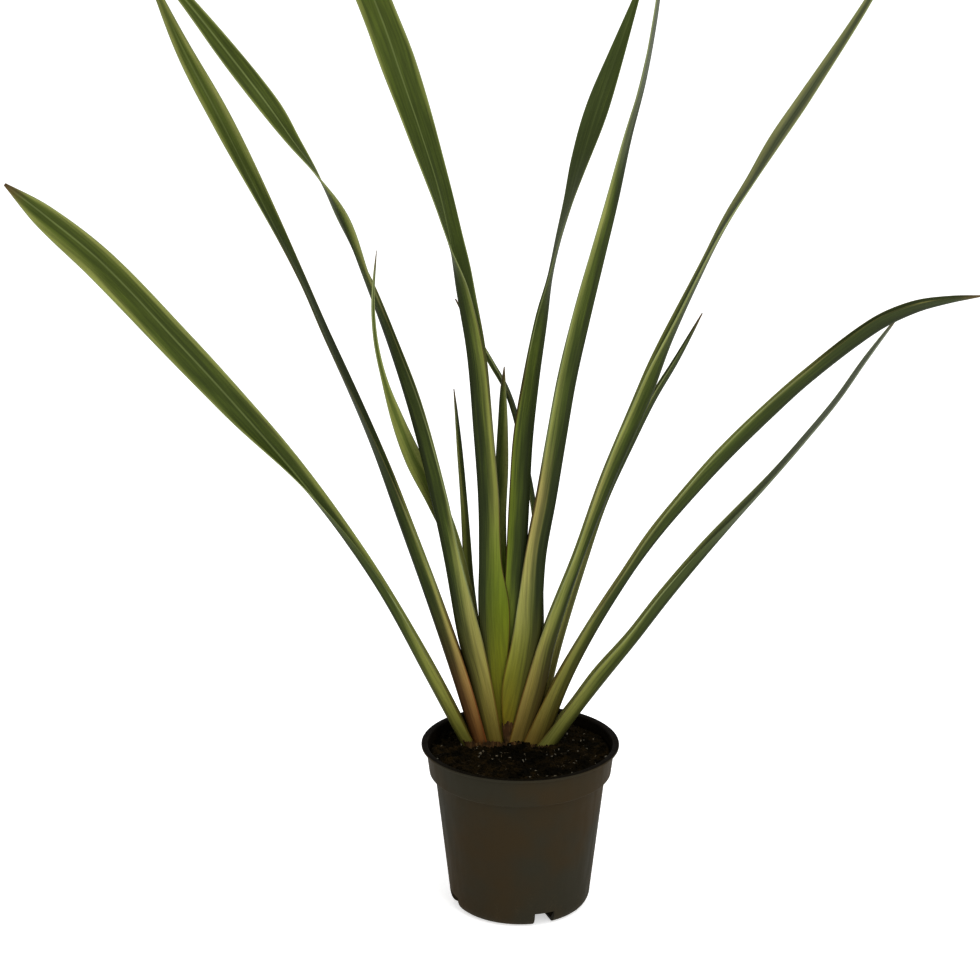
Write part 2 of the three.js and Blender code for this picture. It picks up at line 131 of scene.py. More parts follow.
# How far up the foot's brown reaches and how fast it fades, and how far down the dry tip reaches
FOOT_BROWN_LENGTH = 120
FOOT_BROWN_FADE = 1.3
DRY_TIP_LENGTH = 16

# What sets the streaks of one leaf, and of its two faces, apart from the next
LEAF_STREAK_STEP = 7.3
FACE_STREAK_STEP = 2.9

# Sections across a blade, from -1 at the edge towards the viewer over 0 at the keel to 1 at the rear edge
HALF_STATIONS = [0.05, 0.1, 0.15, 0.2, 0.28, 0.36, 0.44, 0.52, 0.6, 0.68, 0.76, 0.84, 0.9, 0.95, 0.98, 1.0]
STATIONS = [-u for u in reversed(HALF_STATIONS)] + [0.0] + HALF_STATIONS

# Each row of a leaf: x, y, z of its keel, half its width, half the angle it is folded open,
# and how far its channel is rolled from the fan's plane towards the viewer.
# opens is +1 where the channel faces right and -1 where it faces left; keel is half the keel's breadth;
# rib is how clearly the midrib shows and aged how brown the foot is, both from 0 to 1.
# Each line of a leaf's look: how far up the leaf, from 0 to 1; where its pale margin begins, from 0 at the
# keel to 1 at the edge and below 0 where it reaches right across, on the half towards the viewer and on the
# rear half; how fresh its green is, and greyish below 0; how tan its pale margin is, which darkens the
# green too; and how much lime green that margin holds.
# Some look lines are set paler as painted light where a leaf lies in shade, partly over its own pale colour:
# the foot of leaf_left_low below the rim, and the lower parts of leaf_rear_right and leaf_rear_centre behind
# the other leaves.
LEAVES = [
    {
        "name": "leaf_left_low",
        "opens": 1,
        "keel": 1.6,
        "rib": 0.6,
        "aged": 0.45,
        "look": [
            (0, -0.3, 0, 1, 0, 0.3), (0.12, 0, 0.2, 0.8, 0, 0.35), (0.2, 0.4, 0.3, 0.2, 0, 0.3),
            (0.27, 0.9, 0.3, 0.05, 0, 0.2), (0.37, 0.95, 0.35, 0.05, 0, 0.2),
            (0.45, 0.85, 0.4, 0.15, 0, 0.15), (0.55, 0.75, 0.5, 0.15, 0, 0.1),
            (0.7, 0.72, 0.5, 0.2, 0, 0.15), (0.85, 0.4, 0.4, 0.5, 0, 0.1), (1, 0.5, 0.45, 0.5, 0, 0.1),
        ],
        "rows": [
            (-34, 8, 98, 8, 12, 0), (-60.5, 7, 152, 8.7, 14, 0), (-88.5, 2, 210, 6.8, 22, 4),
            (-113, -3, 252, 7.4, 38, 8), (-142.5, -9, 296, 8, 50, 35), (-180, -17, 346, 9.6, 66, 78),
            (-212, -26, 387, 11, 68, 95), (-254, -36, 438, 11.4, 68, 100), (-287, -42, 469, 8, 70, 100),
            (-309, -46, 488, 0.7, 70, 100),
        ],
    },
    {
        "name": "leaf_left_outer",
        "opens": 1,
        "keel": 1.6,
        "rib": 0.35,
        "aged": 0.8,
        "look": [
            (0, 0.1, 0.4, 0.2, 1, 0), (0.1, 0.2, 0.4, 0.1, 1, 0), (0.18, 0.35, 0.3, 0.1, 0.5, 0.1),
            (0.26, 0.5, 0.4, 0.1, 0.1, 0.3), (0.36, 0.92, 0.8, 0, 0.5, 0), (0.52, 0.97, 0.95, -0.1, 1, 0),
            (0.65, 0.85, 0.8, 0, 0.4, 0), (0.72, 0.65, 0.6, 0.3, 0, 0), (0.88, 0.4, 0.3, 0.7, 0, 0),
            (1, -0.4, -0.4, 1, 0, 0),
        ],
        "rows": [
            (-28, 8, 98, 9, 10, 0), (-43.5, 8, 152, 10.3, 10, 0), (-61, 10, 207, 9.4, 13, 0),
            (-79, 13, 260, 8.4, 26, 2), (-97.5, 18, 313, 8.5, 58, 4), (-124, 26, 376, 8.3, 76, 6),
            (-140, 31, 414, 8.2, 78, 8), (-165, 39, 464, 8.1, 75, 26), (-189.5, 47, 513, 7.6, 76, 50),
            (-213.5, 54, 559, 5, 76, 78), (-236, 61, 610, 0.6, 76, 80),
        ],
    },
    {
        "name": "leaf_left_twisted",
        "opens": 1,
        "keel": 1.3,
        "rib": 0.7,
        "aged": 0.65,
        "look": [
            (0, 0, 0.3, 0.3, 0.3, 0.15), (0.1, 0.12, 0.4, 0.2, 0.3, 0.1), (0.17, 0.2, 0.5, 0.2, 0.3, 0),
            (0.23, 0.35, 0.5, 0.1, 0.1, 0.1), (0.3, 0.75, 0.7, 0, 0.1, 0.1), (0.38, 0.85, 0.8, 0, 0.2, 0),
            (0.5, 0.9, 0.9, 0, 0.5, 0), (0.59, 0.35, 0.4, 0.6, 0, 0), (0.68, 0.65, 0.6, 0.3, 0, 0.1),
            (0.83, 0.8, 0.75, 0.3, 0, 0.1), (0.92, 0.4, 0.4, 0.7, 0, 0), (1, 0.4, 0.4, 0.7, 0, 0),
        ],
        "rows": [
            (-21, 8, 98, 11.5, 10, 0), (-33, 8, 152, 14.2, 9, 0), (-40, 9, 180, 15.2, 9, 0),
            (-49, 10, 234, 10.2, 10, 0), (-57, 11, 274, 10, 14, 0), (-69.5, 12, 327, 9.3, 22, 2),
            (-83, 16, 372, 9.3, 50, 0), (-99, 20, 417, 9, 65, -6), (-113, 25, 453, 8.6, 76, -32),
            (-127, 28, 480, 8.3, 86, -5), (-143.5, 31, 503, 7.7, 86, 26), (-158.5, 34, 524.5, 7.3, 80, 57),
            (-184, 38, 558, 6.2, 76, 82), (-208, 42, 588, 4, 76, 84), (-248, 47, 635, 0.6, 76, 84),
        ],
    },
    {
        "name": "leaf_left_tall",
        "opens": 1,
        "keel": 0.5,
        "rib": 0.5,
        "aged": 0.9,
        "look": [
            (0, 0, 0.5, 0.4, 0, 0.8), (0.09, 0.02, 0.5, 0.2, 0, 1), (0.17, 0.08, 0.6, 0, 0, 1),
            (0.23, 0.2, 0.6, 0, 0, 0.8), (0.29, 0.35, 0.6, 0, 0.3, 0.4), (0.36, 0.48, 0.7, 0, 0.2, 0.35),
            (0.46, 0.35, 0.8, 0, 0, 0.45), (0.56, 0.8, 0.85, 0, 0, 0.2), (0.67, 0.82, 0.82, 0.05, 0, 0.15),
            (0.77, 0.7, 0.75, 0.3, 0, 0.1), (0.85, 0.6, 0.6, 0.6, 0, 0.1), (1, 0.7, 0.7, 0.5, 0.1, 0.1),
        ],
        "rows": [
            (-18, 8, 98, 8.5, 5, 0), (-23, 8, 141, 13, 6, 0), (-26, 8, 180, 19, 6, 0),
            (-27, 8, 207, 19.6, 6, 0), (-26.5, 8, 235, 14.3, 8, 0), (-27, 7, 276, 13.2, 12, 0),
            (-30, 6, 322, 12.4, 16, 3), (-34, 5, 372, 12, 22, 6), (-40.5, 4, 413, 11.4, 32, 14),
            (-44.5, 2, 442, 11.9, 66, 20), (-51.5, 0, 476, 11.9, 80, 29), (-62, -3, 511.5, 11.9, 82, 45),
            (-73, -6, 545.5, 11.6, 80, 62), (-83.5, -9, 578, 10.5, 78, 88), (-98, -13, 616, 10, 78, 95),
            (-111, -17, 648, 7.4, 78, 95), (-127, -22, 691, 0.6, 78, 95),
        ],
    },
    {
        "name": "leaf_centre_dark",
        "opens": -1,
        "keel": 0.4,
        "rib": 0.12,
        "aged": 0.5,
        "look": [
            (0, 0.5, 0.8, 0.3, 0.2, 0.5), (0.12, 0.5, 0.8, 0.1, 0, 0.9), (0.19, 0.1, 0.4, 0.7, 0, 0.9),
            (0.25, 0.5, 0.8, 0.05, 0.1, 0.9), (0.34, 0.5, 0.8, 0, 0, 0.9), (0.42, 0.55, 0.8, 0.1, 0, 0.8),
            (0.53, 0.85, 0.85, 0.5, 0, 0.3), (0.66, 0.9, 0.9, -0.4, 0, 0), (0.78, 0.97, 0.97, -0.1, 0, 0),
            (1, 0.97, 0.97, 0, 0, 0),
        ],
        "rows": [
            (-6, 8, 98, 3, 3, 0), (-3, 8, 145, 8, 3, 0), (0, 8, 194, 11.6, 3, 0), (3, 8, 235, 12.6, 5, 0),
            (5, 10, 275, 12.8, 8, 0), (7, 12, 314, 12.5, 12, 0), (11, 15, 353, 11.4, 30, 0),
            (16, 18, 391, 10.3, 46, 0), (19, 20, 417, 9.8, 74, 0), (24, 23, 441, 9.3, 80, 4),
            (31, 26, 466, 8.8, 78, 14), (37.5, 29, 491, 8.2, 78, 37), (48, 33, 525, 7.4, 78, 72),
            (58.5, 37, 555, 5.1, 78, 82), (76, 43, 605, 0.6, 78, 84),
        ],
    },
    {
        "name": "leaf_right_tall",
        "opens": -1,
        "keel": 1.4,
        "rib": 0.2,
        "aged": 0.95,
        "look": [
            (0, 0.1, 0.5, 0.5, 0.1, 0.8), (0.1, 0.2, 0.5, 0.2, 0, 0.75), (0.17, 0.2, 0.6, 0, 0.15, 0.2),
            (0.24, 0.28, 0.65, 0, 0.5, 0), (0.32, 0.35, 0.65, 0, 0.7, 0), (0.39, 0.45, 0.7, 0, 0, 0.15),
            (0.49, 0.63, 0.7, 0.15, 0, 0.15), (0.58, 0.62, 0.7, 0.3, 0, 0.1), (0.65, 0.45, 0.5, 0.3, 0, 0),
            (0.72, 0.65, 0.65, -0.3, 0, 0), (0.82, 0.8, 0.8, -0.7, 0, 0), (1, 0.7, 0.7, -0.7, 0, 0),
        ],
        "rows": [
            (-4, 8, 98, 5.5, 9, 0), (6, 8, 141, 19, 9, 0), (13, 8, 180, 19, 9, 0), (14, 8, 207, 16, 9, 0),
            (16, 7, 239, 13.6, 10, 0), (22, 5, 276, 13, 12, 0), (28, 2, 317, 12.5, 14, 0),
            (34, -2, 357, 12, 18, 0), (42, -6, 397, 11.6, 22, -4), (50, -11, 435, 11, 34, -6),
            (58, -16, 473, 10.2, 48, -8), (65, -21, 511, 9.2, 64, -8), (73, -26, 547, 8.2, 70, -6),
            (78.5, -31, 583, 7.2, 72, -6), (82, -35, 618, 5.2, 72, 0), (86, -42, 661, 0.6, 72, 0),
        ],
    },
    {
        "name": "leaf_right_upright",
        "opens": -1,
        "keel": 1.6,
        "rib": 0.2,
        "aged": 0.6,
        "look": [
            (0, 0.15, 0.4, 0.1, 0.5, 0.1), (0.1, 0.25, 0.4, 0, 0.5, 0.1), (0.18, 0.12, 0.4, 0.4, 0.1, 0.2),
            (0.24, 0.3, 0.5, 0.3, 0.1, 0.2), (0.32, 0.42, 0.5, 0.3, 0.3, 0), (0.39, 0.5, 0.5, 0.2, 0, 0.1),
            (0.47, 0.65, 0.65, 0.2, 0, 0.1), (0.56, 0.7, 0.7, -0.1, 0.1, 0), (0.63, 0.5, 0.5, -0.3, 0, 0),
            (0.69, 0.15, 0.1, -0.4, 0.15, 0), (1, 0.15, 0.1, -0.45, 0.15, 0),
        ],
        "rows": [
            (4, 8, 98, 14.4, 9, 0), (16, 8, 145, 14, 9, 0), (23, 8, 180, 10.6, 10, 0),
            (40, 9, 235, 8, 34, 0), (60, 12, 288, 9.2, 18, 0), (82, 18, 339, 10.3, 20, 0),
            (96, 24, 377, 10, 54, 0), (119, 34, 427, 9.3, 72, 0), (131.5, 39, 451, 9, 76, 4),
            (147, 44, 476, 8.6, 78, 8), (162.5, 49, 500.5, 8.1, 74, 20), (179, 54, 525, 7.4, 76, 24),
            (211, 62, 574, 4, 76, 30), (240, 69, 624, 0.6, 76, 34),
        ],
    },
    {
        "name": "leaf_right_arching",
        "opens": -1,
        "keel": 1.3,
        "rib": 0.2,
        "aged": 0.65,
        "look": [
            (0, 0.2, 0.3, 0.15, 0.5, 0), (0.13, 0.32, 0.2, 0.1, 0.1, 0.2), (0.2, 0.5, 0.15, 0, 0.1, 0.2),
            (0.27, 0.7, 0.5, 0, 0.4, 0.1), (0.36, 0.7, 0.45, 0, 0.3, 0.2), (0.47, 0.65, 0.3, 0, 0.1, 0.2),
            (0.6, 0.75, 0.4, 0, 0, 0.25), (0.8, 0.92, 0.85, 0, 0.5, 0), (1, 0.92, 0.92, -0.1, 0.5, 0),
        ],
        "rows": [
            (14, 8, 98, 16, 9, 0), (30, 8, 145, 10.6, 9, 0), (46, 6, 181, 7.8, 12, 0),
            (69, 3, 223, 7, 35, 0), (87, 0, 251, 7.8, 28, 0), (107.5, -4, 278.5, 8.7, 26, -4),
            (130, -9, 306.5, 9.7, 26, -6), (154.5, -15, 334.5, 9.8, 28, -8), (180, -21, 361.5, 9.6, 36, -8),
            (217, -32, 395, 9.6, 34, -8), (239, -37, 408, 8.4, 40, -6), (259, -41, 415, 5.4, 50, -4),
            (279, -45, 420, 0.6, 60, 0),
        ],
    },
    {
        "name": "leaf_right_low",
        "opens": -1,
        "keel": 2.1,
        "rib": 0.1,
        "aged": 0.3,
        "look": [
            (0, -0.3, -0.2, 0.8, 0, 0.1), (0.18, 0.4, 0.1, 0.1, 0, 0.2), (0.32, 0.7, 0.3, -0.05, 0, 0.1),
            (0.45, 0.92, 0.5, -0.1, 0, 0), (0.59, 0.97, 0.6, -0.35, 0, 0), (0.73, 0.97, 0.8, -0.75, 0, 0),
            (1, 0.97, 0.8, -1, 0, 0),
        ],
        "rows": [
            (18, 8, 98, 11.5, 9, 0), (39, 8, 129, 9.4, 9, 0), (56, 9, 152, 10, 12, 0),
            (76.5, 11, 178.5, 8.3, 16, 0), (96, 14, 204.5, 8.1, 18, 0), (117.5, 17, 231.5, 7.6, 28, 0),
            (140, 21, 258, 7.4, 54, 0), (162.5, 25, 283.5, 7, 67, 0), (184.5, 29, 309.5, 6.4, 72, 0),
            (205, 33, 335, 5.4, 74, 0), (223, 37, 361, 4, 64, 0), (244, 41, 391, 0.6, 50, 0),
        ],
    },
    {
        "name": "leaf_rear_right",
        "opens": -1,
        "keel": 0.8,
        "rib": 0.3,
        "aged": 0.5,
        "look": [
            (0, -0.6, -0.6, 1, 0.1, 0), (0.45, -0.8, -0.8, 1, 0.2, 0), (0.6, 0, 0, 0.6, 0, 0),
            (0.7, 0.5, 0.5, 0.2, 0.2, 0), (0.9, 0.9, 0.9, -0.1, 0.2, 0), (1, 0.9, 0.9, -0.1, 0.4, 0),
        ],
        "rows": [
            (12, 24, 98, 7.5, 12, 0), (20, 25, 138, 8, 12, 0), (28, 26, 173, 8, 14, 0),
            (44, 30, 228, 8, 18, 0), (57, 35, 267, 7.8, 24, 0), (75, 42, 306, 7, 40, 0),
            (88, 47, 332, 5.8, 48, 0), (102.5, 52, 356.5, 4.1, 45, 0), (118, 57, 387, 0.6, 45, 0),
        ],
    },
    {
        "name": "leaf_rear_left",
        "opens": 1,
        "keel": 0.8,
        "rib": 0.12,
        "aged": 0.5,
        "look": [
            (0, 0.4, 0.5, 0.3, 0.2, 0.2), (0.35, -0.9, -0.8, 1, 0.2, 0.2), (0.5, 0, 0, 0.9, 0, 0.3),
            (0.62, -0.1, 0, 0.8, 0, 0.3), (0.75, 0.05, 0.1, 0.7, 0, 0.2), (0.9, 0.3, 0.3, 0.4, 0, 0),
            (1, 0.8, 0.8, 0, 0.4, 0),
        ],
        "rows": [
            (-24, 23, 98, 7, 14, 0), (-27, 23, 146, 7, 14, 0), (-34, 23, 188, 7, 25, 10),
            (-45, 23, 237, 7, 50, 35), (-56, 22, 271, 6.6, 70, 60), (-69, 20, 299, 6, 75, 72),
            (-79, 16, 326, 4.3, 76, 76), (-87, 11, 354, 2.1, 76, 70), (-92, 6, 381, 1.5, 76, 50),
            (-93, 2, 408, 1.2, 76, 30), (-90, -4, 440, 0.5, 76, 20),
        ],
    },
    {
        "name": "leaf_rear_slender",
        "opens": -1,
        "keel": 0.6,
        "rib": 0.2,
        "aged": 0.4,
        "look": [
            (0, -0.4, -0.2, 1, 0, 0.5), (0.6, -0.4, -0.2, 1, 0, 0.4), (0.8, 0.4, 0.5, 0.3, 0.2, 0),
            (1, 0.5, 0.5, -0.6, 0.2, 0),
        ],
        "rows": [
            (-19, 33, 98, 7, 12, 0), (-24, 33, 135, 7.5, 14, 0), (-27, 34, 177, 7.2, 14, 0),
            (-31, 34, 212, 6.4, 16, 0), (-33, 34, 240, 5.4, 18, 0), (-35.5, 35, 271, 4.2, 20, 0),
            (-38.5, 37, 304, 3.3, 22, 0), (-43, 39, 341, 0.6, 24, 0),
        ],
    },
    {
        "name": "leaf_rear_centre",
        "opens": 1,
        "keel": 0.7,
        "rib": 0.2,
        "aged": 0.4,
        "look": [
            (0, -0.3, -0.2, 1, 0, 0.9), (0.5, -0.5, -0.4, 1, 0, 0.9), (0.6, 0.2, 0.3, 0.8, 0, 0.4),
            (0.7, 0.45, 0.5, 0.5, 0, 0.1), (1, 0.4, 0.4, 0.6, 0, 0),
        ],
        "rows": [
            (-13, 25, 98, 8, 10, 0), (-13, 26, 138, 8.6, 10, 0), (-16, 27, 201, 8.4, 10, 0),
            (-17, 28, 256, 7.8, 12, 0), (-16, 28, 293, 8.2, 14, 0), (-14.5, 28, 320, 6.4, 18, 0),
            (-13, 29, 343, 3.8, 24, 0), (-11, 30, 358, 0.6, 28, 0),
        ],
    },
    {
        "name": "leaf_rear_crossing",
        "opens": -1,
        "keel": 0.6,
        "rib": 0.2,
        "aged": 0.4,
        "look": [
            (0, 0.85, 0.85, 0.2, 0.2, 0), (0.65, 0.85, 0.85, 0.2, 0.3, 0), (0.76, 0.95, 0.95, 0, 0.5, 0),
            (0.85, 0.7, 0.7, 0.3, 0, 0), (1, 0.9, 0.9, 0.2, 0.3, 0),
        ],
        "rows": [
            (8, 33, 98, 6.5, 12, 0), (15, 33, 164, 7, 14, 0), (15, 33, 199, 6.6, 20, 0),
            (14, 34, 230, 6, 35, 0), (11, 35, 257, 5, 50, 0), (7, 36, 281, 4.8, 52, 0),
            (-1, 39, 320, 4.6, 52, 10), (-8, 41, 341, 4.3, 54, 20), (-17.5, 44, 357.5, 4, 55, 30),
            (-30, 48, 378, 3, 60, 30), (-42, 51, 398, 0.6, 60, 30),
        ],
    },
]


def paint(red, green, blue):
    """A colour as a painter's card gives it, from 0 to 255, made linear for a shader."""

    def linear(value):
        share = value / 255
        if share <= 0.04045:
            return share / 12.92
        return ((share + 0.055) / 1.055) ** 2.4

    return (linear(red), linear(green), linear(blue), 1.0)


# Leaf colours
DEEP_GREEN = paint(67, 78, 33)
FRESH_GREEN = paint(100, 112, 46)
# The keel's own dark green, also laid over the keel side of the outer face as painted shade
KEEL_GREEN_AND_SHADE = paint(40, 47, 26)
GREY_BLOOM = paint(112, 116, 102)
LIME = paint(107, 121, 28)
STRAW = paint(152, 155, 94)
TAN = paint(168, 152, 98)
# A brown leaf edge, also painted shade in the seams between the leaf bases
EDGE_BROWN_AND_SEAM_SHADE = paint(66, 46, 14)
EDGE_PALE = paint(138, 146, 104)
MIDRIB_PALE = paint(124, 134, 84)
FOOT_YELLOW = paint(134, 118, 26)
FOOT_ORANGE = paint(146, 84, 36)
DRY_TIP = paint(104, 84, 56)

# Pot, soil and crown colours
POT_BROWN = paint(66, 56, 39)
POT_GREY = paint(60, 57, 46)
# The darker rim top, and painted shade on the pot's inner wall
POT_RIM_DARK_AND_INNER_SHADE = paint(22, 17, 9)
DUST = paint(92, 82, 62)
SOIL_WET = paint(9, 8, 4)
SOIL_DARK = paint(22, 17, 7)
SOIL_BROWN = paint(50, 38, 16)
PERLITE_WHITE = paint(116, 112, 100)
FIBRE_GREY = paint(112, 102, 82)
FIBRE_BROWN = paint(66, 52, 32)
DEAD_BROWN = paint(86, 60, 32)
DEAD_PALE = paint(120, 94, 56)

# The studio: its floor, and the photograph's view in metres, degrees and a camera's millimetres
STUDIO_PALE = paint(236, 236, 236)
STUDIO_WHITE = paint(242, 242, 242)
STUDIO_REACH = 30000
CAMERA_PLACE = (-0.0199, -1.4782, 0.7223)
CAMERA_DIP = 16.5
CAMERA_LENS = 88.8
CAMERA_SENSOR = 36


# Shader wiring

def new_material(name):
    """A bare material: its node tree and the shader that its patterns feed."""
    material = bpy.data.materials.new(name)
    material.use_nodes = True
    tree = material.node_tree
    shader = tree.nodes["Principled BSDF"]
    return material, tree, shader


def feed(tree, socket, value):
    """Joins a socket to another node's output, or sets its own value."""
    if isinstance(value, bpy.types.NodeSocket):
        tree.links.new(value, socket)
    else:
        socket.default_value = value


def calc(tree, operation, first, second=0.0, clamp=False):
    """One sum of two values."""
    node = tree.nodes.new("ShaderNodeMath")
    node.operation = operation
    node.use_clamp = clamp
    feed(tree, node.inputs[0], first)
    feed(tree, node.inputs[1], second)
    return node.outputs[0]


def ease(tree, value, low, high, start=0.0, end=1.0):
    """A value that goes softly from start at low to end at high."""
    node = tree.nodes.new("ShaderNodeMapRange")
    node.interpolation_type = "SMOOTHSTEP"
    feed(tree, node.inputs["Value"], value)
    feed(tree, node.inputs["From Min"], low)
    feed(tree, node.inputs["From Max"], high)
    feed(tree, node.inputs["To Min"], start)
    feed(tree, node.inputs["To Max"], end)
    return node.outputs["Result"]


def tint(tree, share, first, second):
    """The first colour, going over to the second by a share."""
    node = tree.nodes.new("ShaderNodeMix")
    node.data_type = "RGBA"
    feed(tree, node.inputs[0], share)
    feed(tree, node.inputs[6], first)
    feed(tree, node.inputs[7], second)
    return node.outputs[2]


def parts(tree, vector):
    """The three parts of a vector."""
    node = tree.nodes.new("ShaderNodeSeparateXYZ")
    feed(tree, node.inputs[0], vector)
    return node.outputs[0], node.outputs[1], node.outputs[2]


def joined(tree, x, y, z):
    """A vector from three values."""
    node = tree.nodes.new("ShaderNodeCombineXYZ")
    feed(tree, node.inputs[0], x)
    feed(tree, node.inputs[1], y)
    feed(tree, node.inputs[2], z)
    return node.outputs[0]


def mottle(tree, vector, scale, detail, rough):
    """Cloudy values round one half."""
    node = tree.nodes.new("ShaderNodeTexNoise")
    feed(tree, node.inputs["Vector"], vector)
    node.inputs["Scale"].default_value = scale
    node.inputs["Detail"].default_value = detail
    node.inputs["Roughness"].default_value = rough
    return node.outputs[0]


def kept(tree, name):
    """An attribute that the piece's mesh carries."""
    node = tree.nodes.new("ShaderNodeAttribute")
    node.attribute_type = "GEOMETRY"
    node.attribute_name = name
    return node.outputs["Vector"]


def own_place(tree):
    """Where a point is on its own object, in metres."""
    return tree.nodes.new("ShaderNodeTexCoord").outputs["Object"]


def relief(tree, shader, height, depth, strength):
    """Fine relief of a depth in metres."""
    node = tree.nodes.new("ShaderNodeBump")
    node.inputs["Strength"].default_value = strength
    node.inputs["Distance"].default_value = depth
    feed(tree, node.inputs["Height"], height)
    tree.links.new(node.outputs[0], shader.inputs["Normal"])


# Materials

def vein_streaks(tree, reach, along, lot):
    """Fine and broad streaks that run along the blade, and longer patches, other ones on each leaf."""
    drawn_out = calc(tree, "MULTIPLY", along, 0.014)
    vein_place = joined(tree, reach, drawn_out, lot)
    fine = mottle(tree, vein_place, scale=1.7, detail=3.0, rough=0.55)
    broad = mottle(tree, vein_place, scale=0.42, detail=1.0, rough=0.5)
    patch_place = joined(tree, calc(tree, "MULTIPLY", reach, 0.3), drawn_out, lot)
    patches = mottle(tree, patch_place, scale=2.1, detail=2.0, rough=0.5)
    return fine, broad, patches


def uneven_reach(tree, across, fine, broad):
    """How far out a point is, from 0 at the keel to 1 at the edge, shifted to and fro by the streaks."""
    wander = calc(tree, "ADD", across, calc(tree, "MULTIPLY", calc(tree, "SUBTRACT", broad, 0.5), 0.4))
    return calc(tree, "ADD", wander, calc(tree, "MULTIPLY", calc(tree, "SUBTRACT", fine, 0.5), 0.4))


def green_middle(tree, fresh, tan, fine, patches):
    """The blade's green, fresher and deeper in streaks, and darker where the leaf is tan."""
    uneven = calc(tree, "MULTIPLY", calc(tree, "SUBTRACT", patches, 0.5), 0.6)
    green = tint(tree, calc(tree, "ADD", fresh, uneven, True), DEEP_GREEN, FRESH_GREEN)
    green = tint(tree, ease(tree, fine, 0.55, 0.72, 0.0, 0.35), green, FRESH_GREEN)
    green = tint(tree, ease(tree, fine, 0.45, 0.3, 0.0, 0.4), green, DEEP_GREEN)
    return tint(tree, calc(tree, "MULTIPLY", tan, 0.8, True), green, KEEL_GREEN_AND_SHADE)


def pale_margin(tree, tan, lime, fine):
    """The margin's straw, tan or lime green, with green streaks."""
    pale = tint(tree, tan, STRAW, TAN)
    pale = tint(tree, lime, pale, LIME)
    return tint(tree, ease(tree, fine, 0.5, 0.68, 0.0, 0.5), pale, FRESH_GREEN)


def with_midrib(tree, colour, reach, upper):
    """The pale midrib on the upper face, with painted shade in the channel beside it."""
    off_rib = calc(tree, "ABSOLUTE", reach)
    # Painted shade in the channel beside the midrib, going over to the deep green
    painted_channel_shade = calc(tree, "MULTIPLY", ease(tree, off_rib, 0.8, 4.5, 0.6, 0.0), upper)
    colour = tint(tree, painted_channel_shade, colour, DEEP_GREEN)
    rib = calc(tree, "MULTIPLY", ease(tree, off_rib, 0.25, 0.75), upper)
    rib = calc(tree, "SUBTRACT", upper, rib)
    return tint(tree, rib, colour, MIDRIB_PALE)


def with_edge_line(tree, colour, to_edge, pale_from, tan, lime, foot):
    """The thin line along the edge: brown on tan and lime stretches, and brown and wider towards the foot,
    partly the leaf's own brown edge and partly painted shade in the seams between the leaf bases; faint on a
    green margin.
    """
    brown_edge_or_seam_shade = calc(tree, "MAXIMUM", ease(tree, tan, 0.1, 0.6), ease(tree, foot, 0.0, 0.3))
    brown_edge_or_seam_shade = calc(tree, "MAXIMUM", brown_edge_or_seam_shade, ease(tree, lime, 0.2, 0.5))
    edge_colour = tint(tree, brown_edge_or_seam_shade, EDGE_PALE, EDGE_BROWN_AND_SEAM_SHADE)
    # The line widens towards the foot, where its brown is partly painted shade in the seams between the leaf
    # bases
    line_width = calc(tree, "ADD", foot, 0.9)
    line = ease(tree, to_edge, 0.3, line_width, 0.8, 0.0)
    line = calc(tree, "MULTIPLY", line, ease(tree, pale_from, 0.8, 0.95, 1.0, 0.15))
    return tint(tree, line, colour, edge_colour)


def leaf_blade_material():
    """Green blade with fine parallel veins, a margin that pales towards a thin edge line, and a midrib."""
    material, tree, shader = new_material("leaf_blade")
    reach, along, upper = parts(tree, kept(tree, "blade_place"))
    to_edge, pale_from, across = parts(tree, kept(tree, "blade_margin"))
    fresh, tan, lime = parts(tree, kept(tree, "blade_colour"))
    foot, tip, lot = parts(tree, kept(tree, "blade_age"))
    fine, broad, patches = vein_streaks(tree, reach, along, lot)

    # The green middle goes over to the pale margin
    wander = uneven_reach(tree, across, fine, broad)
    pale_full = calc(tree, "ADD", calc(tree, "MULTIPLY", pale_from, 0.6), 0.7)
    pale_share = ease(tree, wander, pale_from, pale_full)
    green = green_middle(tree, fresh, tan, fine, patches)
    pale = pale_margin(tree, tan, lime, fine)
    colour = tint(tree, pale_share, green, pale)

    # A grey bloom over both where the freshness is below 0
    colour = tint(tree, calc(tree, "MULTIPLY", fresh, -1.0, True), colour, GREY_BLOOM)

    # The keel side of the outer face is darker: partly the keel's own darker green, partly painted shade
    outer = ease(tree, upper, 0.0, 0.05, 0.65, 0.0)
    painted_keel_shade = calc(tree, "MULTIPLY", outer, ease(tree, wander, 0.1, 0.55, 1.0, 0.0))
    colour = tint(tree, painted_keel_shade, colour, KEEL_GREEN_AND_SHADE)
    colour = with_midrib(tree, colour, reach, upper)
    colour = with_edge_line(tree, colour, to_edge, pale_from, tan, lime, foot)

    # The browned foot and the dry tip
    foot_colour = tint(tree, tan, FOOT_YELLOW, FOOT_ORANGE)
    foot_share = calc(tree, "MULTIPLY", foot, ease(tree, pale_share, 0.0, 1.0, 0.6, 1.0))
    colour = tint(tree, foot_share, colour, foot_colour)
    colour = tint(tree, tip, colour, DRY_TIP)

    # Lighter and darker lengths
    value = tree.nodes.new("ShaderNodeHueSaturation")
    feed(tree, value.inputs["Value"], ease(tree, patches, 0.2, 0.8, 0.82, 1.12))
    feed(tree, value.inputs["Color"], colour)
    feed(tree, shader.inputs["Base Color"], value.outputs[0])
    feed(tree, shader.inputs["Roughness"], ease(tree, fine, 0.3, 0.7, 0.45, 0.6))
    shader.inputs["Specular IOR Level"].default_value = 0.16
    relief(tree, shader, calc(tree, "ADD", fine, broad), depth=0.00025, strength=0.5)
    return material


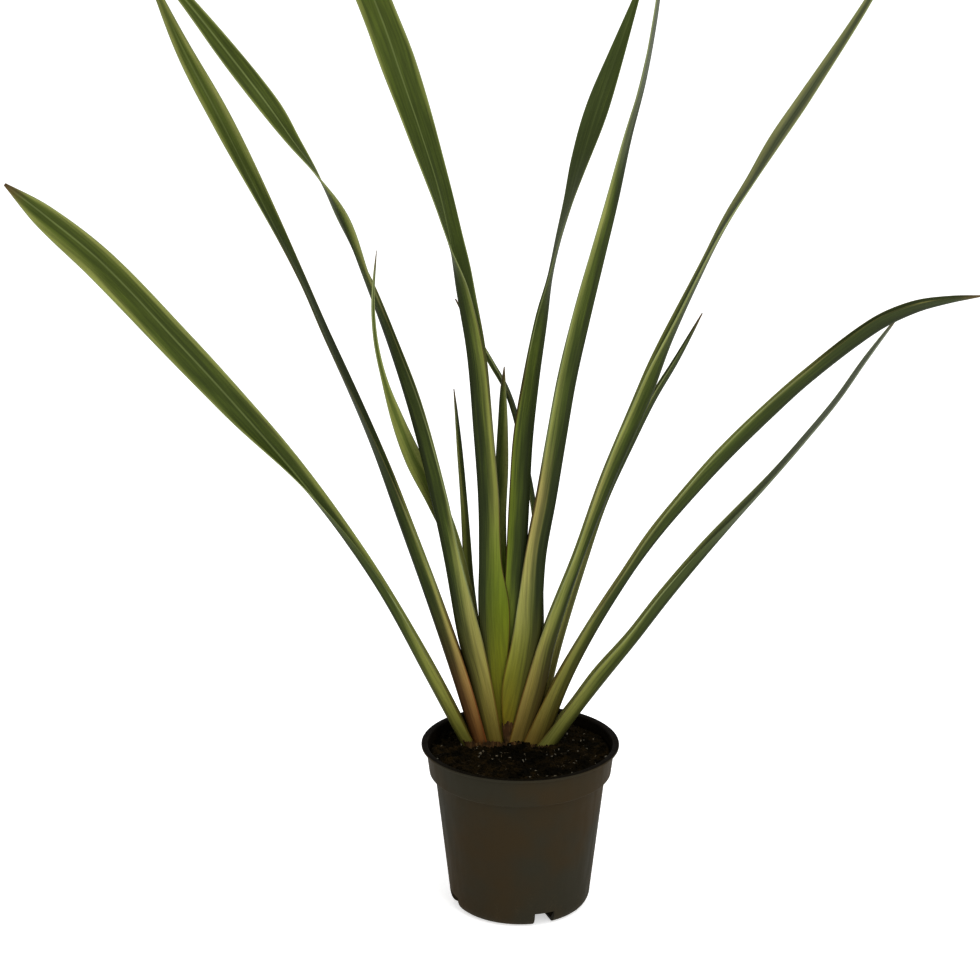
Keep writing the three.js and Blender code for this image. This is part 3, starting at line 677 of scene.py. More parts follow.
def pot_plastic_material():
    """Dark brown moulded plastic, faintly dragged and dusty, darker on the top of its rim, with painted
    shade on the wall inside.
    """
    material, tree, shader = new_material("pot_plastic")
    place = own_place(tree)
    x, y, z = parts(tree, place)
    clouds = mottle(tree, place, scale=18.0, detail=3.0, rough=0.55)
    grain = mottle(tree, place, scale=900.0, detail=2.0, rough=0.6)
    drag_place = joined(tree, calc(tree, "MULTIPLY", x, 6.0), calc(tree, "MULTIPLY", y, 6.0), z)
    drags = mottle(tree, drag_place, scale=24.0, detail=3.0, rough=0.6)
    colour = tint(tree, ease(tree, clouds, 0.35, 0.65), POT_BROWN, POT_GREY)
    dusty = calc(tree, "MULTIPLY", ease(tree, drags, 0.5, 0.75), ease(tree, grain, 0.4, 0.7))
    low = ease(tree, z, 0.0, DUST_HEIGHT * MM, 0.3, 0.06)
    colour = tint(tree, calc(tree, "MULTIPLY", dusty, low), colour, DUST)

    # The flat of the rim is darkened, and painted shade darkens the wall inside it
    squares = calc(tree, "ADD", calc(tree, "MULTIPLY", x, x), calc(tree, "MULTIPLY", y, y))
    radius = calc(tree, "SQRT", squares)
    wall = calc(tree, "ADD", calc(tree, "MULTIPLY", z, WALL_LEAN), WALL_START * MM)
    inner_wall_shade = ease(tree, calc(tree, "SUBTRACT", radius, wall), -0.0002, 0.0002, 1.0, 0.0)
    inner_wall_shade = calc(tree, "MULTIPLY", inner_wall_shade, ease(tree, z, INNER_SHADE_FROM * MM, INNER_SHADE_FULL * MM))
    dark_rim_top = ease(tree, z, (POT_HEIGHT - RIM_DARK_FROM) * MM, (POT_HEIGHT - RIM_DARK_FULL) * MM)
    dark_rim_and_inner_shade = calc(tree, "MAXIMUM", inner_wall_shade, dark_rim_top)
    dark_rim_and_inner_shade = calc(tree, "MULTIPLY", dark_rim_and_inner_shade, ease(tree, grain, 0.3, 0.5, 0.75, 1.0))
    colour = tint(tree, dark_rim_and_inner_shade, colour, POT_RIM_DARK_AND_INNER_SHADE)
    feed(tree, shader.inputs["Base Color"], colour)
    feed(tree, shader.inputs["Roughness"], ease(tree, drags, 0.3, 0.7, 0.5, 0.64))
    shader.inputs["Specular IOR Level"].default_value = 0.05
    relief(tree, shader, calc(tree, "ADD", grain, drags), depth=0.0001, strength=0.35)
    return material


def soil_material():
    """Damp peat: nearly black, with browner shreds and wetter patches."""
    material, tree, shader = new_material("peat")
    place = own_place(tree)
    patches = mottle(tree, place, scale=45.0, detail=2.0, rough=0.5)
    clods = mottle(tree, place, scale=160.0, detail=4.0, rough=0.6)
    shreds = mottle(tree, place, scale=700.0, detail=3.0, rough=0.6)
    colour = tint(tree, ease(tree, clods, 0.4, 0.7), SOIL_DARK, SOIL_BROWN)
    colour = tint(tree, ease(tree, shreds, 0.6, 0.72, 0.0, 0.6), colour, FIBRE_BROWN)
    colour = tint(tree, ease(tree, patches, 0.45, 0.6, 0.0, 0.75), colour, SOIL_WET)
    feed(tree, shader.inputs["Base Color"], colour)
    feed(tree, shader.inputs["Roughness"], ease(tree, shreds, 0.3, 0.7, 0.8, 0.98))
    shader.inputs["Specular IOR Level"].default_value = 0.05
    relief(tree, shader, calc(tree, "ADD", clods, shreds), depth=0.0006, strength=0.7)
    return material


def perlite_material():
    """Chalky off-white grains, stained brown by the peat."""
    material, tree, shader = new_material("perlite_grain")
    place = own_place(tree)
    stain = mottle(tree, place, scale=420.0, detail=3.0, rough=0.6)
    colour = tint(tree, ease(tree, stain, 0.4, 0.56), FIBRE_GREY, PERLITE_WHITE)
    feed(tree, shader.inputs["Base Color"], colour)
    feed(tree, shader.inputs["Roughness"], ease(tree, stain, 0.3, 0.7, 0.75, 0.95))
    shader.inputs["Specular IOR Level"].default_value = 0.2
    relief(tree, shader, stain, depth=0.0003, strength=0.6)
    return material


def dead_sheath_material(name, dark, light):
    """Papery dead leaf or fibre, streaked along its height."""
    material, tree, shader = new_material(name)
    place = own_place(tree)
    x, y, z = parts(tree, place)
    drawn = joined(tree, x, y, calc(tree, "MULTIPLY", z, 0.12))
    streaks = mottle(tree, drawn, scale=620.0, detail=3.0, rough=0.6)
    blots = mottle(tree, place, scale=120.0, detail=2.0, rough=0.5)
    colour = tint(tree, ease(tree, streaks, 0.4, 0.68), dark, light)
    colour = tint(tree, ease(tree, blots, 0.45, 0.65, 0.0, 0.7), colour, SOIL_BROWN)
    feed(tree, shader.inputs["Base Color"], colour)
    feed(tree, shader.inputs["Roughness"], ease(tree, streaks, 0.3, 0.7, 0.65, 0.9))
    shader.inputs["Specular IOR Level"].default_value = 0.2
    relief(tree, shader, streaks, depth=0.0003, strength=0.6)
    return material


# Meshes

def mesh_piece(name, points, faces, material):
    """An object from points in millimetres."""
    mesh = bpy.data.meshes.new(name)
    mesh.from_pydata([Vector(point) * MM for point in points], [], faces)
    mesh.validate()
    mesh.shade_smooth()
    mesh.materials.append(material)
    piece = bpy.data.objects.new(name, mesh)
    bpy.context.scene.collection.objects.link(piece)
    return piece


def sharpen(piece, degrees):
    """Keeps the corners of a smooth mesh crisp where they turn by more than an angle."""
    shape = bmesh.new()
    shape.from_mesh(piece.data)
    for edge in shape.edges:
        if len(edge.link_faces) == 2 and edge.calc_face_angle(0) > math.radians(degrees):
            edge.smooth = False
    shape.to_mesh(piece.data)
    shape.free()


def made_plain(piece):
    """Turns the result of a piece's modifiers into its own mesh."""
    seen = piece.evaluated_get(bpy.context.evaluated_depsgraph_get())
    mesh = bpy.data.meshes.new_from_object(seen)
    old = piece.data
    piece.modifiers.clear()
    piece.data = mesh
    bpy.data.meshes.remove(old)


def stand_for(piece, node):
    """The piece is what shows of a node."""
    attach(piece, "root")
    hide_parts(node)


def lie_on(piece):
    """The piece only adds to what shows."""
    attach(piece, "root")


# Leaves: s is how far up its keel a section is, and u is a station across it

def leaf_track(rows):
    """Smooth values between a leaf's rows, by Hermite curves over the length of its keel."""
    knots = [0.0]
    for before, row in zip(rows, rows[1:]):
        knots.append(knots[-1] + math.dist(before[:3], row[:3]))

    def slope(i, k):
        first = max(i - 1, 0)
        last = min(i + 1, len(rows) - 1)
        return (rows[last][k] - rows[first][k]) / (knots[last] - knots[first])

    def at(s):
        i = 0
        while i < len(rows) - 2 and s > knots[i + 1]:
            i += 1
        span = knots[i + 1] - knots[i]
        share = (s - knots[i]) / span
        eased = share * share * (3 - 2 * share)
        leaving = share * (1 - share) ** 2 * span
        arriving = share * share * (share - 1) * span
        values = []
        for k, value in enumerate(rows[i]):
            step = (rows[i + 1][k] - value) * eased
            values.append(value + step + slope(i, k) * leaving + slope(i + 1, k) * arriving)
        return values

    return knots[-1], at


def look_at(look, share):
    """A leaf's look between its lines."""
    for low, high in zip(look, look[1:]):
        if share <= high[0]:
            part = (share - low[0]) / (high[0] - low[0])
            return [a + (b - a) * part for a, b in zip(low[1:], high[1:])]
    return list(look[-1][1:])


def blade_directions(leaf, length, at, s):
    """Which way the keel runs, which way the channel opens and which way its two halves part."""
    *_, roll_degrees = at(s)
    ahead = Vector(at(min(s + 1, length))[:3])
    behind = Vector(at(max(s - 1, 0))[:3])
    along = (ahead - behind).normalized()
    depthways = (Vector((0, 1, 0)) - along * along.y).normalized()
    inward = depthways.cross(along) * leaf["opens"]
    roll = math.radians(roll_degrees)
    mouth = inward * math.cos(roll) - depthways * math.sin(roll)
    sideways = depthways * math.cos(roll) + inward * math.sin(roll)
    return along, mouth, sideways


def half_thickness(away, length, s):
    """Half a blade's thickness: most at its foot's keel, rounded off at its edges and thin at its tip."""
    thick = KEEL_THICKNESS + (MARGIN_THICKNESS - KEEL_THICKNESS) * min(1, away + s / length)
    rounding = math.sqrt(max(0.0, 1 - max(0.0, (away - EDGE_ROUND_FROM) / EDGE_ROUND_SPAN) ** 2))
    tip_share = min(1.0, TIP_THINNEST + (length - s) / TIP_THIN_LENGTH)
    return thick / 2 * rounding * tip_share


def blade_lift(leaf, half_width, flatness, u, s):
    """How far an open blade bows and ripples off its flat halves."""
    away = abs(u)
    hand = (u > 0) - (u < 0)
    bow = BOW_SHARE * half_width * flatness * math.sin(math.pi * away)
    turn = s / RIPPLE_STRETCH + RIPPLE_HALF_SHIFT * hand + leaf["keel"] * RIPPLE_LEAF_SHIFT
    ripple = RIPPLE_HEIGHT * flatness * away**2 * math.sin(turn)
    return bow + ripple


def blade_section(leaf, length, at, s):
    """One cross-section: the outer and the inner face of a folded blade with a rounded keel."""
    x, y, z, half_width, open_degrees, _ = at(s)
    along, mouth, sideways = blade_directions(leaf, length, at, s)
    opened = math.radians(open_degrees)
    flatness = math.sin(opened) ** 2
    keel = leaf["keel"] * math.cos(opened) ** 2
    centre = Vector((x, y, z))
    outer = []
    inner = []
    for u in STATIONS:
        away = abs(u)
        hand = (u > 0) - (u < 0)
        half = half_thickness(away, length, s)
        lift = blade_lift(leaf, half_width, flatness, u, s)
        shoulder = min(1.0, away / KEEL_SHOULDER)
        reach = away * half_width
        out = reach * math.cos(opened) - lift * math.sin(opened)
        keel_side = keel * math.sin(shoulder * math.pi / 2)
        side = hand * (keel_side + reach * math.sin(opened) + lift * math.cos(opened))
        turn = shoulder * (math.pi / 2 - opened)
        normal_out = -half * math.cos(turn)
        normal_side = hand * half * math.sin(turn)
        outer.append(centre + mouth * (out + normal_out) + sideways * (side + normal_side))
        inner.append(centre + mouth * (out - normal_out) + sideways * (side - normal_side))
    return outer, inner, along, half_width


def foot_rings(leaf, length, at):
    """The leaf's lowest section, level on the crown, and the section where the blade is free of it."""
    outer, inner, along, _ = blade_section(leaf, length, at, 0)
    seated = []
    for point in outer + inner:
        seated.append(point + along * ((LEAF_SEAT - point.z) / along.z))
    outer, inner, _, _ = blade_section(leaf, length, at, FOOT_LENGTH)
    return seated, outer + inner


def leaf_marks(leaf, lot, length, s, half_width):
    """What the leaf's material reads at each point of a section: its place, margin, colour and age."""
    front_from, rear_from, fresh, tan, lime = look_at(leaf["look"], s / length)
    foot = leaf["aged"] * max(0.0, 1 - s / FOOT_BROWN_LENGTH) ** FOOT_BROWN_FADE
    tip = max(0.0, 1 - (length - s) / DRY_TIP_LENGTH)
    marks = []
    for upper in (0.0, leaf["rib"]):
        streaks = lot * LEAF_STREAK_STEP + upper * FACE_STREAK_STEP
        for u in STATIONS:
            away = abs(u)
            pale_from = front_from if u < 0 else rear_from
            place = (u * half_width, s, upper)
            margin = ((1 - away) * half_width, pale_from, away)
            marks.append((place, margin, (fresh, tan, lime), (foot, tip, streaks)))
    return marks


def keep_vectors(mesh, name, values):
    """Stores three values for each point of a mesh."""
    layer = mesh.attributes.new(name, "FLOAT_VECTOR", "POINT")
    for item, value in zip(layer.data, values):
        item.vector = value


def make_leaf(leaf, lot, material):
    """A closed strip of sections, its foot level where it sits on the crown."""
    length, at = leaf_track(leaf["rows"])
    count = math.ceil(length / BLADE_STEP)
    foot_ring, free_ring = foot_rings(leaf, length, at)
    points = []
    marks = []
    for i in range(count + 1):
        s = length * i / count
        outer, inner, _, half_width = blade_section(leaf, length, at, s)
        ring = outer + inner
        if s < FOOT_LENGTH:
            ring = [low.lerp(high, s / FOOT_LENGTH) for low, high in zip(foot_ring, free_ring)]
        points += ring
        marks += leaf_marks(leaf, lot, length, s, half_width)
    faces = leaf_faces(count, len(STATIONS))
    if leaf["opens"] < 0:
        faces = [face[::-1] for face in faces]
    piece = mesh_piece(leaf["name"] + "_blade", points, faces, material)
    names = ("blade_place", "blade_margin", "blade_colour", "blade_age")
    for name, values in zip(names, zip(*marks)):
        keep_vectors(piece.data, name, values)
    stand_for(piece, leaf["name"])


def leaf_faces(count, across):
    """Quads over both faces, the two margins, the foot and the tip."""

    def outer(i, j):
        return i * 2 * across + j

    def inner(i, j):
        return i * 2 * across + across + j

    faces = []
    for i in range(count):
        for j in range(across - 1):
            faces.append((outer(i, j), outer(i + 1, j), outer(i + 1, j + 1), outer(i, j + 1)))
            faces.append((inner(i, j), inner(i, j + 1), inner(i + 1, j + 1), inner(i + 1, j)))
        edge = across - 1
        faces.append((outer(i, 0), inner(i, 0), inner(i + 1, 0), outer(i + 1, 0)))
        faces.append((inner(i, edge), outer(i, edge), outer(i + 1, edge), inner(i + 1, edge)))
    for j in range(across - 1):
        faces.append((outer(0, j), outer(0, j + 1), inner(0, j + 1), inner(0, j)))
        faces.append((outer(count, j + 1), outer(count, j), inner(count, j), inner(count, j + 1)))
    return faces


# Pot

def turned(profile, sides):
    """A body turned about +Z from a profile that runs from axis to axis; height None is the soil's top."""
    points = []
    for radius, height in profile:
        around = 1 if radius == 0 else sides
        for i in range(around):
            angle = 2 * math.pi * i / sides
            x = radius * math.sin(angle)
            y = -radius * math.cos(angle)
            points.append((x, y, crumbly_height(x, y) if height is None else height))
    last = len(points) - 1
    faces = []
    for i in range(sides):
        following = (i + 1) % sides
        faces.append((0, 1 + following, 1 + i))
        for r in range(len(profile) - 3):
            low = 1 + r * sides
            high = low + sides
            faces.append((low + i, low + following, high + following, high + i))
        faces.append((last - sides + i, last - sides + following, last))
    return points, faces


def rounded_foot(inner, outer, height, steps):
    """A quarter of an ellipse between two corners of a profile."""
    corner = []
    for i in range(steps + 1):
        angle = i / steps * math.pi / 2
        corner.append((inner + (outer - inner) * math.sin(angle), height * (1 - math.cos(angle))))
    return corner


def softened(corners, radius, steps):
    """Rounds the corners of an open profile, each within its own half of the stretches beside it."""
    room = 0.45
    result = [corners[0]]
    for before, corner, after in zip(corners, corners[1:], corners[2:]):
        here = Vector(corner)
        back = Vector(before) - here
        on = Vector(after) - here
        cut = min(radius, back.length * room, on.length * room)
        start = here + back.normalized() * cut
        end = here + on.normalized() * cut
        for i in range(steps + 1):
            t = i / steps
            point = start * (1 - t) ** 2 + here * 2 * t * (1 - t) + end * t**2
            result.append((point.x, point.y))
    result.append(corners[-1])
    return result


def notch_cutter(degrees, extra):
    """A box that fills one drainage notch and reaches past its sides, top and inner end by an extra."""
    reach = NOTCH_OUTER_RADIUS - NOTCH_INNER_RADIUS + extra
    middle = NOTCH_OUTER_RADIUS - reach / 2
    angle = math.radians(degrees)
    shape = bmesh.new()
    bmesh.ops.create_cube(shape, size=1)
    for point in shape.verts:
        across = point.co.x * (NOTCH_WIDTH + 2 * extra)
        outward = middle + point.co.y * reach
        x = across * math.cos(angle) + outward * math.sin(angle)
        y = across * math.sin(angle) - outward * math.cos(angle)
        point.co = Vector((x, y, point.co.z * 2 * (NOTCH_HEIGHT + extra))) * MM
    bmesh.ops.recalc_face_normals(shape, faces=shape.faces)
    mesh = bpy.data.meshes.new("notch")
    shape.to_mesh(mesh)
    shape.free()
    cutter = bpy.data.objects.new("notch", mesh)
    bpy.context.scene.collection.objects.link(cutter)
    return cutter


def without_notches(piece, extra):
    """Cuts the drainage notches through the foot of a piece."""
    cutters = [notch_cutter(degrees, extra) for degrees in NOTCH_ANGLES]
    for cutter in cutters:
        cut = piece.modifiers.new("notch", "BOOLEAN")
        cut.operation = "DIFFERENCE"
        cut.solver = "EXACT"
        cut.object = cutter
    made_plain(piece)
    for cutter in cutters:
        mesh = cutter.data
        bpy.data.objects.remove(cutter)
        bpy.data.meshes.remove(mesh)


def make_pot(material):
    """The thin-walled pot with its band, lip and notched foot."""
    lip_foot = POT_HEIGHT - LIP_HEIGHT
    wall = [
        (BODY_FOOT_RADIUS, FOOT_CORNER_HEIGHT),
        (BODY_TOP_RADIUS, BAND_FOOT_HEIGHT - STEP_HEIGHT),
        (BAND_FOOT_RADIUS, BAND_FOOT_HEIGHT),
        (BAND_TOP_RADIUS, lip_foot - LIP_CORNER),
        (RIM_RADIUS - LIP_CORNER, lip_foot),
        (RIM_RADIUS, lip_foot + LIP_CORNER),
        (RIM_RADIUS, POT_HEIGHT - LIP_CORNER),
        (RIM_RADIUS - LIP_CORNER, POT_HEIGHT),
        (BAND_TOP_RADIUS - LIP_CORNER, POT_HEIGHT),
        (BAND_TOP_RADIUS - WALL, POT_HEIGHT - 2 * LIP_CORNER),
        (BAND_FOOT_RADIUS - WALL, BAND_FOOT_HEIGHT + LIP_CORNER),
        (BODY_TOP_RADIUS - WALL, BAND_FOOT_HEIGHT - STEP_HEIGHT - LIP_CORNER),
        (BODY_FOOT_RADIUS - WALL, FOOT_CORNER_HEIGHT),
        (FOOT_RADIUS, FLOOR),
    ]
    underside = [(0, 0), (FOOT_RADIUS / 2, 0)]
    foot = rounded_foot(FOOT_RADIUS, BODY_FOOT_RADIUS, FOOT_CORNER_HEIGHT, FOOT_STEPS)
    inside_floor = [(FOOT_RADIUS / 2, FLOOR), (0, FLOOR)]
    profile = underside + foot[:-1] + softened(wall, CORNER_ROUNDING, CORNER_STEPS) + inside_floor
    points, faces = turned(profile, POT_SIDES)
    piece = mesh_piece("nursery_pot", points, faces, material)
    without_notches(piece, 0)
    sharpen(piece, POT_CREASE_ANGLE)
    stand_for(piece, "pot")


# Soil

def soil_height(x, y):
    """A low mound round the leaf bases, and gentle lumps."""
    away = math.hypot(x / MOUND_STRETCH, y - MOUND_DEPTH)
    height = SOIL_EDGE + MOUND_RISE * math.exp(-((away / MOUND_SPREAD) ** 2))
    for rise, turn_x, turn_y, start in LUMPS:
        height += rise * math.sin(turn_x * x + turn_y * y + start)
    return height


def roughness(place, kinds):
    """How far the soil rises or falls at a place by some kinds of roughness."""
    rise = 0
    for height, breadth, start in kinds:
        rise += height * noise.noise(place / breadth + Vector(start))
    return rise


def crumbly_height(x, y):
    """The soil's height with its clods and crumbs."""
    place = Vector((x, y, 0))
    return soil_height(x, y) + roughness(place, CLODS) + roughness(place, CRUMBS)


def make_soil(material):
    """The soil's rough top, which closes round the leaves, and its plain sides and bottom."""
    bottom = FLOOR + GAP
    wall_gap = WALL + GAP
    profile = [
        (0, bottom),
        (FOOT_RADIUS / 2, bottom),
        (FOOT_RADIUS - 3 * GAP, bottom),
        (BODY_FOOT_RADIUS - wall_gap, FOOT_CORNER_HEIGHT + 2 * GAP),
        (BODY_TOP_RADIUS - wall_gap, BAND_FOOT_HEIGHT - STEP_HEIGHT - LIP_CORNER + GAP),
        (BAND_FOOT_RADIUS - wall_gap, BAND_FOOT_HEIGHT + LIP_CORNER + GAP),
        (SOIL_TOP_RADIUS, SOIL_TOP_CORNER),
    ]
    for r in range(SOIL_RINGS, -1, -1):
        profile.append((SOIL_ROUGH_RADIUS * r / SOIL_RINGS, None))
    points, faces = turned(profile, SOIL_SIDES)
    piece = mesh_piece("potting_soil", points, faces, material)
    without_notches(piece, GAP)
    stand_for(piece, "soil")


def soil_top_patch():
    """The top of the soil alone, for what is scattered over it."""
    points = []
    faces = []
    steps = PATCH_STEPS
    reach = SOIL_ROUGH_RADIUS
    rows = steps + 1
    for j in range(rows):
        for i in range(rows):
            x = reach * (2 * i / steps - 1)
            y = reach * (2 * j / steps - 1)
            points.append((x, y, crumbly_height(x, y)))
    for j in range(steps):
        for i in range(steps):
            x = reach * (2 * (i + 0.5) / steps - 1)
            y = reach * (2 * (j + 0.5) / steps - 1)
            if math.hypot(x, y) < reach:
                low = j * rows + i
                faces.append((low, low + 1, low + rows + 1, low + rows))
    return points, faces


def scatter_sockets(tree):
    """What the tree takes in and gives out, by name."""
    face = tree.interface
    face.new_socket(name="Geometry", in_out="INPUT", socket_type="NodeSocketGeometry")
    for label in ("Grains per square metre", "Evenness", "Smallest size", "Largest size", "Roughening"):
        face.new_socket(name=label, in_out="INPUT", socket_type="NodeSocketFloat")
    face.new_socket(name="Seed", in_out="INPUT", socket_type="NodeSocketInt")
    face.new_socket(name="Geometry", in_out="OUTPUT", socket_type="NodeSocketGeometry")


def grain_places(tree, given):
    """Points over the surface, where grains that aren't even lie in drifts."""
    link = tree.links.new
    drifts = tree.nodes.new("ShaderNodeTexNoise")
    drifts.inputs["Scale"].default_value = 60.0
    share = tree.nodes.new("ShaderNodeMapRange")
    share.inputs["From Min"].default_value = 0.45
    share.inputs["From Max"].default_value = 0.6
    link(drifts.outputs[0], share.inputs["Value"])
    link(given.outputs["Evenness"], share.inputs["To Min"])
    density = calc(tree, "MULTIPLY", share.outputs[0], given.outputs["Grains per square metre"])
    spread = tree.nodes.new("GeometryNodeDistributePointsOnFaces")
    link(given.outputs["Geometry"], spread.inputs["Mesh"])
    link(density, spread.inputs["Density"])
    link(given.outputs["Seed"], spread.inputs["Seed"])
    return spread.outputs["Points"]


def random_vector(tree, given, least, most):
    """Three values for each grain, between the least and the most."""
    node = tree.nodes.new("FunctionNodeRandomValue")
    node.data_type = "FLOAT_VECTOR"
    feed(tree, node.inputs[0], least)
    feed(tree, node.inputs[1], most)
    tree.links.new(given.outputs["Seed"], node.inputs["Seed"])
    return node.outputs[0]


def pushed_about(tree, given, grains, cloud_scale):
    """Grains pushed about by one cloud of values, so that no two look alike."""
    link = tree.links.new
    cloud = tree.nodes.new("ShaderNodeTexNoise")
    cloud.inputs["Scale"].default_value = cloud_scale
    cloud.inputs["Detail"].default_value = 1.0
    middle = tree.nodes.new("ShaderNodeVectorMath")
    middle.operation = "SUBTRACT"
    middle.inputs[1].default_value = (0.5, 0.5, 0.5)
    link(cloud.outputs["Color"], middle.inputs[0])
    strength = tree.nodes.new("ShaderNodeVectorMath")
    strength.operation = "SCALE"
    link(middle.outputs[0], strength.inputs[0])
    link(given.outputs["Roughening"], strength.inputs["Scale"])
    push = tree.nodes.new("GeometryNodeSetPosition")
    link(grains, push.inputs["Geometry"])
    link(strength.outputs[0], push.inputs["Offset"])
    return push.outputs["Geometry"]


def scatter_tree(name, material, shape):
    """Geometry nodes that scatter a small shape over a surface and roughen each one."""
    tree = bpy.data.node_groups.new(name, "GeometryNodeTree")
    scatter_sockets(tree)
    given = tree.nodes.new("NodeGroupInput")
    result = tree.nodes.new("NodeGroupOutput")
    link = tree.links.new
    points = grain_places(tree, given)
    size = random_vector(tree, given, given.outputs["Smallest size"], given.outputs["Largest size"])
    tilt = shape["tilt"]
    turn = random_vector(tree, given, (-tilt, -tilt, 0), (tilt, tilt, 2 * math.pi))

    place = tree.nodes.new("GeometryNodeInstanceOnPoints")
    link(points, place.inputs["Points"])
    link(shape["make"](tree), place.inputs["Instance"])
    link(turn, place.inputs["Rotation"])
    link(size, place.inputs["Scale"])
    real = tree.nodes.new("GeometryNodeRealizeInstances")
    link(place.outputs[0], real.inputs[0])
    rough = pushed_about(tree, given, real.outputs[0], shape["cloud"])

    finish = tree.nodes.new("GeometryNodeSetMaterial")
    finish.inputs["Material"].default_value = material
    link(rough, finish.inputs["Geometry"])
    link(finish.outputs[0], result.inputs[0])
    return tree


def crumb_shape(tree):
    """A small lump a unit across."""
    node = tree.nodes.new("GeometryNodeMeshIcoSphere")
    node.inputs["Radius"].default_value = 0.5
    node.inputs["Subdivisions"].default_value = 2
    return node.outputs["Mesh"]


def fibre_shape(tree):
    """A bent thread a unit long."""
    bend = tree.nodes.new("GeometryNodeCurveQuadraticBezier")
    bend.inputs["Resolution"].default_value = 6
    bend.inputs["Start"].default_value = (-0.5, 0, 0)
    bend.inputs["Middle"].default_value = (0, 0.25, 0.12)
    bend.inputs["End"].default_value = (0.5, -0.05, 0.03)
    ring = tree.nodes.new("GeometryNodeCurvePrimitiveCircle")
    ring.inputs["Resolution"].default_value = 4
    ring.inputs["Radius"].default_value = 0.035
    tube = tree.nodes.new("GeometryNodeCurveToMesh")
    tube.inputs["Fill Caps"].default_value = True
    tree.links.new(bend.outputs[0], tube.inputs["Curve"])
    tree.links.new(ring.outputs[0], tube.inputs["Profile Curve"])
    return tube.outputs[0]


def scattered(name, material, shape, values):
    """One piece of many small grains lying on the soil."""
    points, faces = soil_top_patch()
    piece = mesh_piece(name, points, faces, material)
    tree = scatter_tree(name, material, shape)
    modifier = piece.modifiers.new(name, "NODES")
    modifier.node_group = tree
    for item in tree.interface.items_tree:
        if item.item_type == "SOCKET" and item.in_out == "INPUT" and item.name in values:
            modifier[item.identifier] = values[item.name]
    made_plain(piece)
    lie_on(piece)


def make_soil_litter(peat, perlite, fibre):
    """Crumbs of peat, grains of perlite and loose fibres on the soil."""
    lump = {"make": crumb_shape, "tilt": math.pi, "cloud": 600.0}
    thread = {"make": fibre_shape, "tilt": 0.35, "cloud": 150.0}
    grains = [
        ("soil_crumbs", peat, lump, 200000.0, 1, 0.9, 3.2, 1.2, 4),
        ("soil_perlite", perlite, lump, 15000.0, 0.08, 0.5, 2.7, 1.5, 11),
        ("soil_fibres", fibre, thread, 16000.0, 0.3, 2, 7, 2, 23),
    ]
    for name, material, shape, density, evenness, smallest, largest, roughening, seed in grains:
        values = {
            "Grains per square metre": density,
            "Evenness": evenness,
            "Smallest size": smallest * MM,
            "Largest size": largest * MM,
            "Roughening": roughening * MM,
            "Seed": seed,
        }
        scattered(name, material, shape, values)


# Crown

CROWN_CREASE_ANGLE = 50
STEM_END_STEPS = 16


def slot_outline(hole, shrink, steps):
    """Points round a slot with round ends, drawn in from the sides of its hole."""
    radius = hole["radius"] - GAP - shrink
    left = hole["left"] + hole["radius"]
    right = hole["right"] - hole["radius"]
    outline = []
    for i in range(steps + 1):
        angle = -math.pi / 2 + math.pi * i / steps
        outline.append((right + radius * math.cos(angle), hole["depth"] + radius * math.sin(angle)))
    for i in range(steps + 1):
        angle = math.pi / 2 + math.pi * i / steps
        outline.append((left + radius * math.cos(angle), hole["depth"] + radius * math.sin(angle)))
    return outline


def crown_block(hole, points, faces):
    """One row of the woody stem, with rounded edges and a slight waist."""
    low = HOLE_FLOOR + GAP
    high = LEAF_SEAT - GAP

    # The height of each level and how far it is drawn in
    levels = [
        (low, 2),
        (low + 0.6, 0.6),
        (low + 2, 0),
        (low + 7, 0.3),
        (high - 2, 0),
        (high - 0.6, 0.6),
        (high, 2),
    ]
    start = len(points)
    across = 2 * (STEM_END_STEPS + 1)
    for height, shrink in levels:
        for x, y in slot_outline(hole, shrink, STEM_END_STEPS):
            points.append((x, y, height))
    for r in range(len(levels) - 1):
        for i in range(across):
            following = (i + 1) % across
            below = start + r * across
            above = below + across
            faces.append((below + i, below + following, above + following, above + i))
    faces.append(tuple(start + i for i in reversed(range(across))))
    top = start + (len(levels) - 1) * across
    faces.append(tuple(top + i for i in range(across)))


# Remains of old leaf bases: x and y of the middle, width, top, lean to the right, turn in degrees
OLD_BASES = [
    (-32, 1.2, 8, 110.8, -2.5, -14),
    (-26, 0.2, 9, 110.6, -1.4, -4),
    (-19.5, 0.6, 9, 111.4, -0.6, 3),
    (-12.5, 0.4, 8, 111.0, 0.3, -5),
    (-7.8, 3.4, 7.5, 124, -0.6, 2),
    (-2.5, 0.8, 8, 110.2, 0.5, 6),
    (6, 0.4, 7, 109.0, 1.2, 2),
    (14, 1.2, 8, 108.4, 1.8, 8),
    (-20, 19.5, 10, 109.8, -1.0, 176),
    (4, 40.4, 9, 108.4, 1.0, 172),
]

# Each is a thin scrap: its thickness, how far its foot is sunk below the leaves' seat, how deep it is cupped
# as a share of its width, how far it leans back and wobbles, the share of its width that its foot has, its
# grid of points, and how far down and up its top is torn
SCRAP_THICKNESS = 0.55
SCRAP_SUNK = 1.5
SCRAP_CUP = 0.11
SCRAP_LEAN_BACK = 0.9
SCRAP_WOBBLE = 0.5
SCRAP_FOOT_SHARE = 0.45
SCRAP_ACROSS = 12
SCRAP_UP = 7
TORN_LOW = -1.6
TORN_HIGH = 0.8


def scrap_point(base, seed, torn, layer, share, rise):
    """A point of a scrap's front or back layer, by its share of the width and of the height."""
    x, y, width, top, lean, turn = base
    angle = math.radians(turn)
    foot = LEAF_SEAT - SCRAP_SUNK
    bend = (share - 0.5) * width
    depth = SCRAP_CUP * bend**2 / width * 4 + SCRAP_LEAN_BACK * rise + layer * SCRAP_THICKNESS
    wobble = SCRAP_WOBBLE * noise.noise(Vector((bend, rise * 4, seed)))
    side = bend * (SCRAP_FOOT_SHARE + (1 - SCRAP_FOOT_SHARE) * rise) + lean * rise
    back = depth + wobble
    return (
        x + side * math.cos(angle) - back * math.sin(angle),
        y + side * math.sin(angle) + back * math.cos(angle),
        foot + (top + torn - foot) * rise,
    )


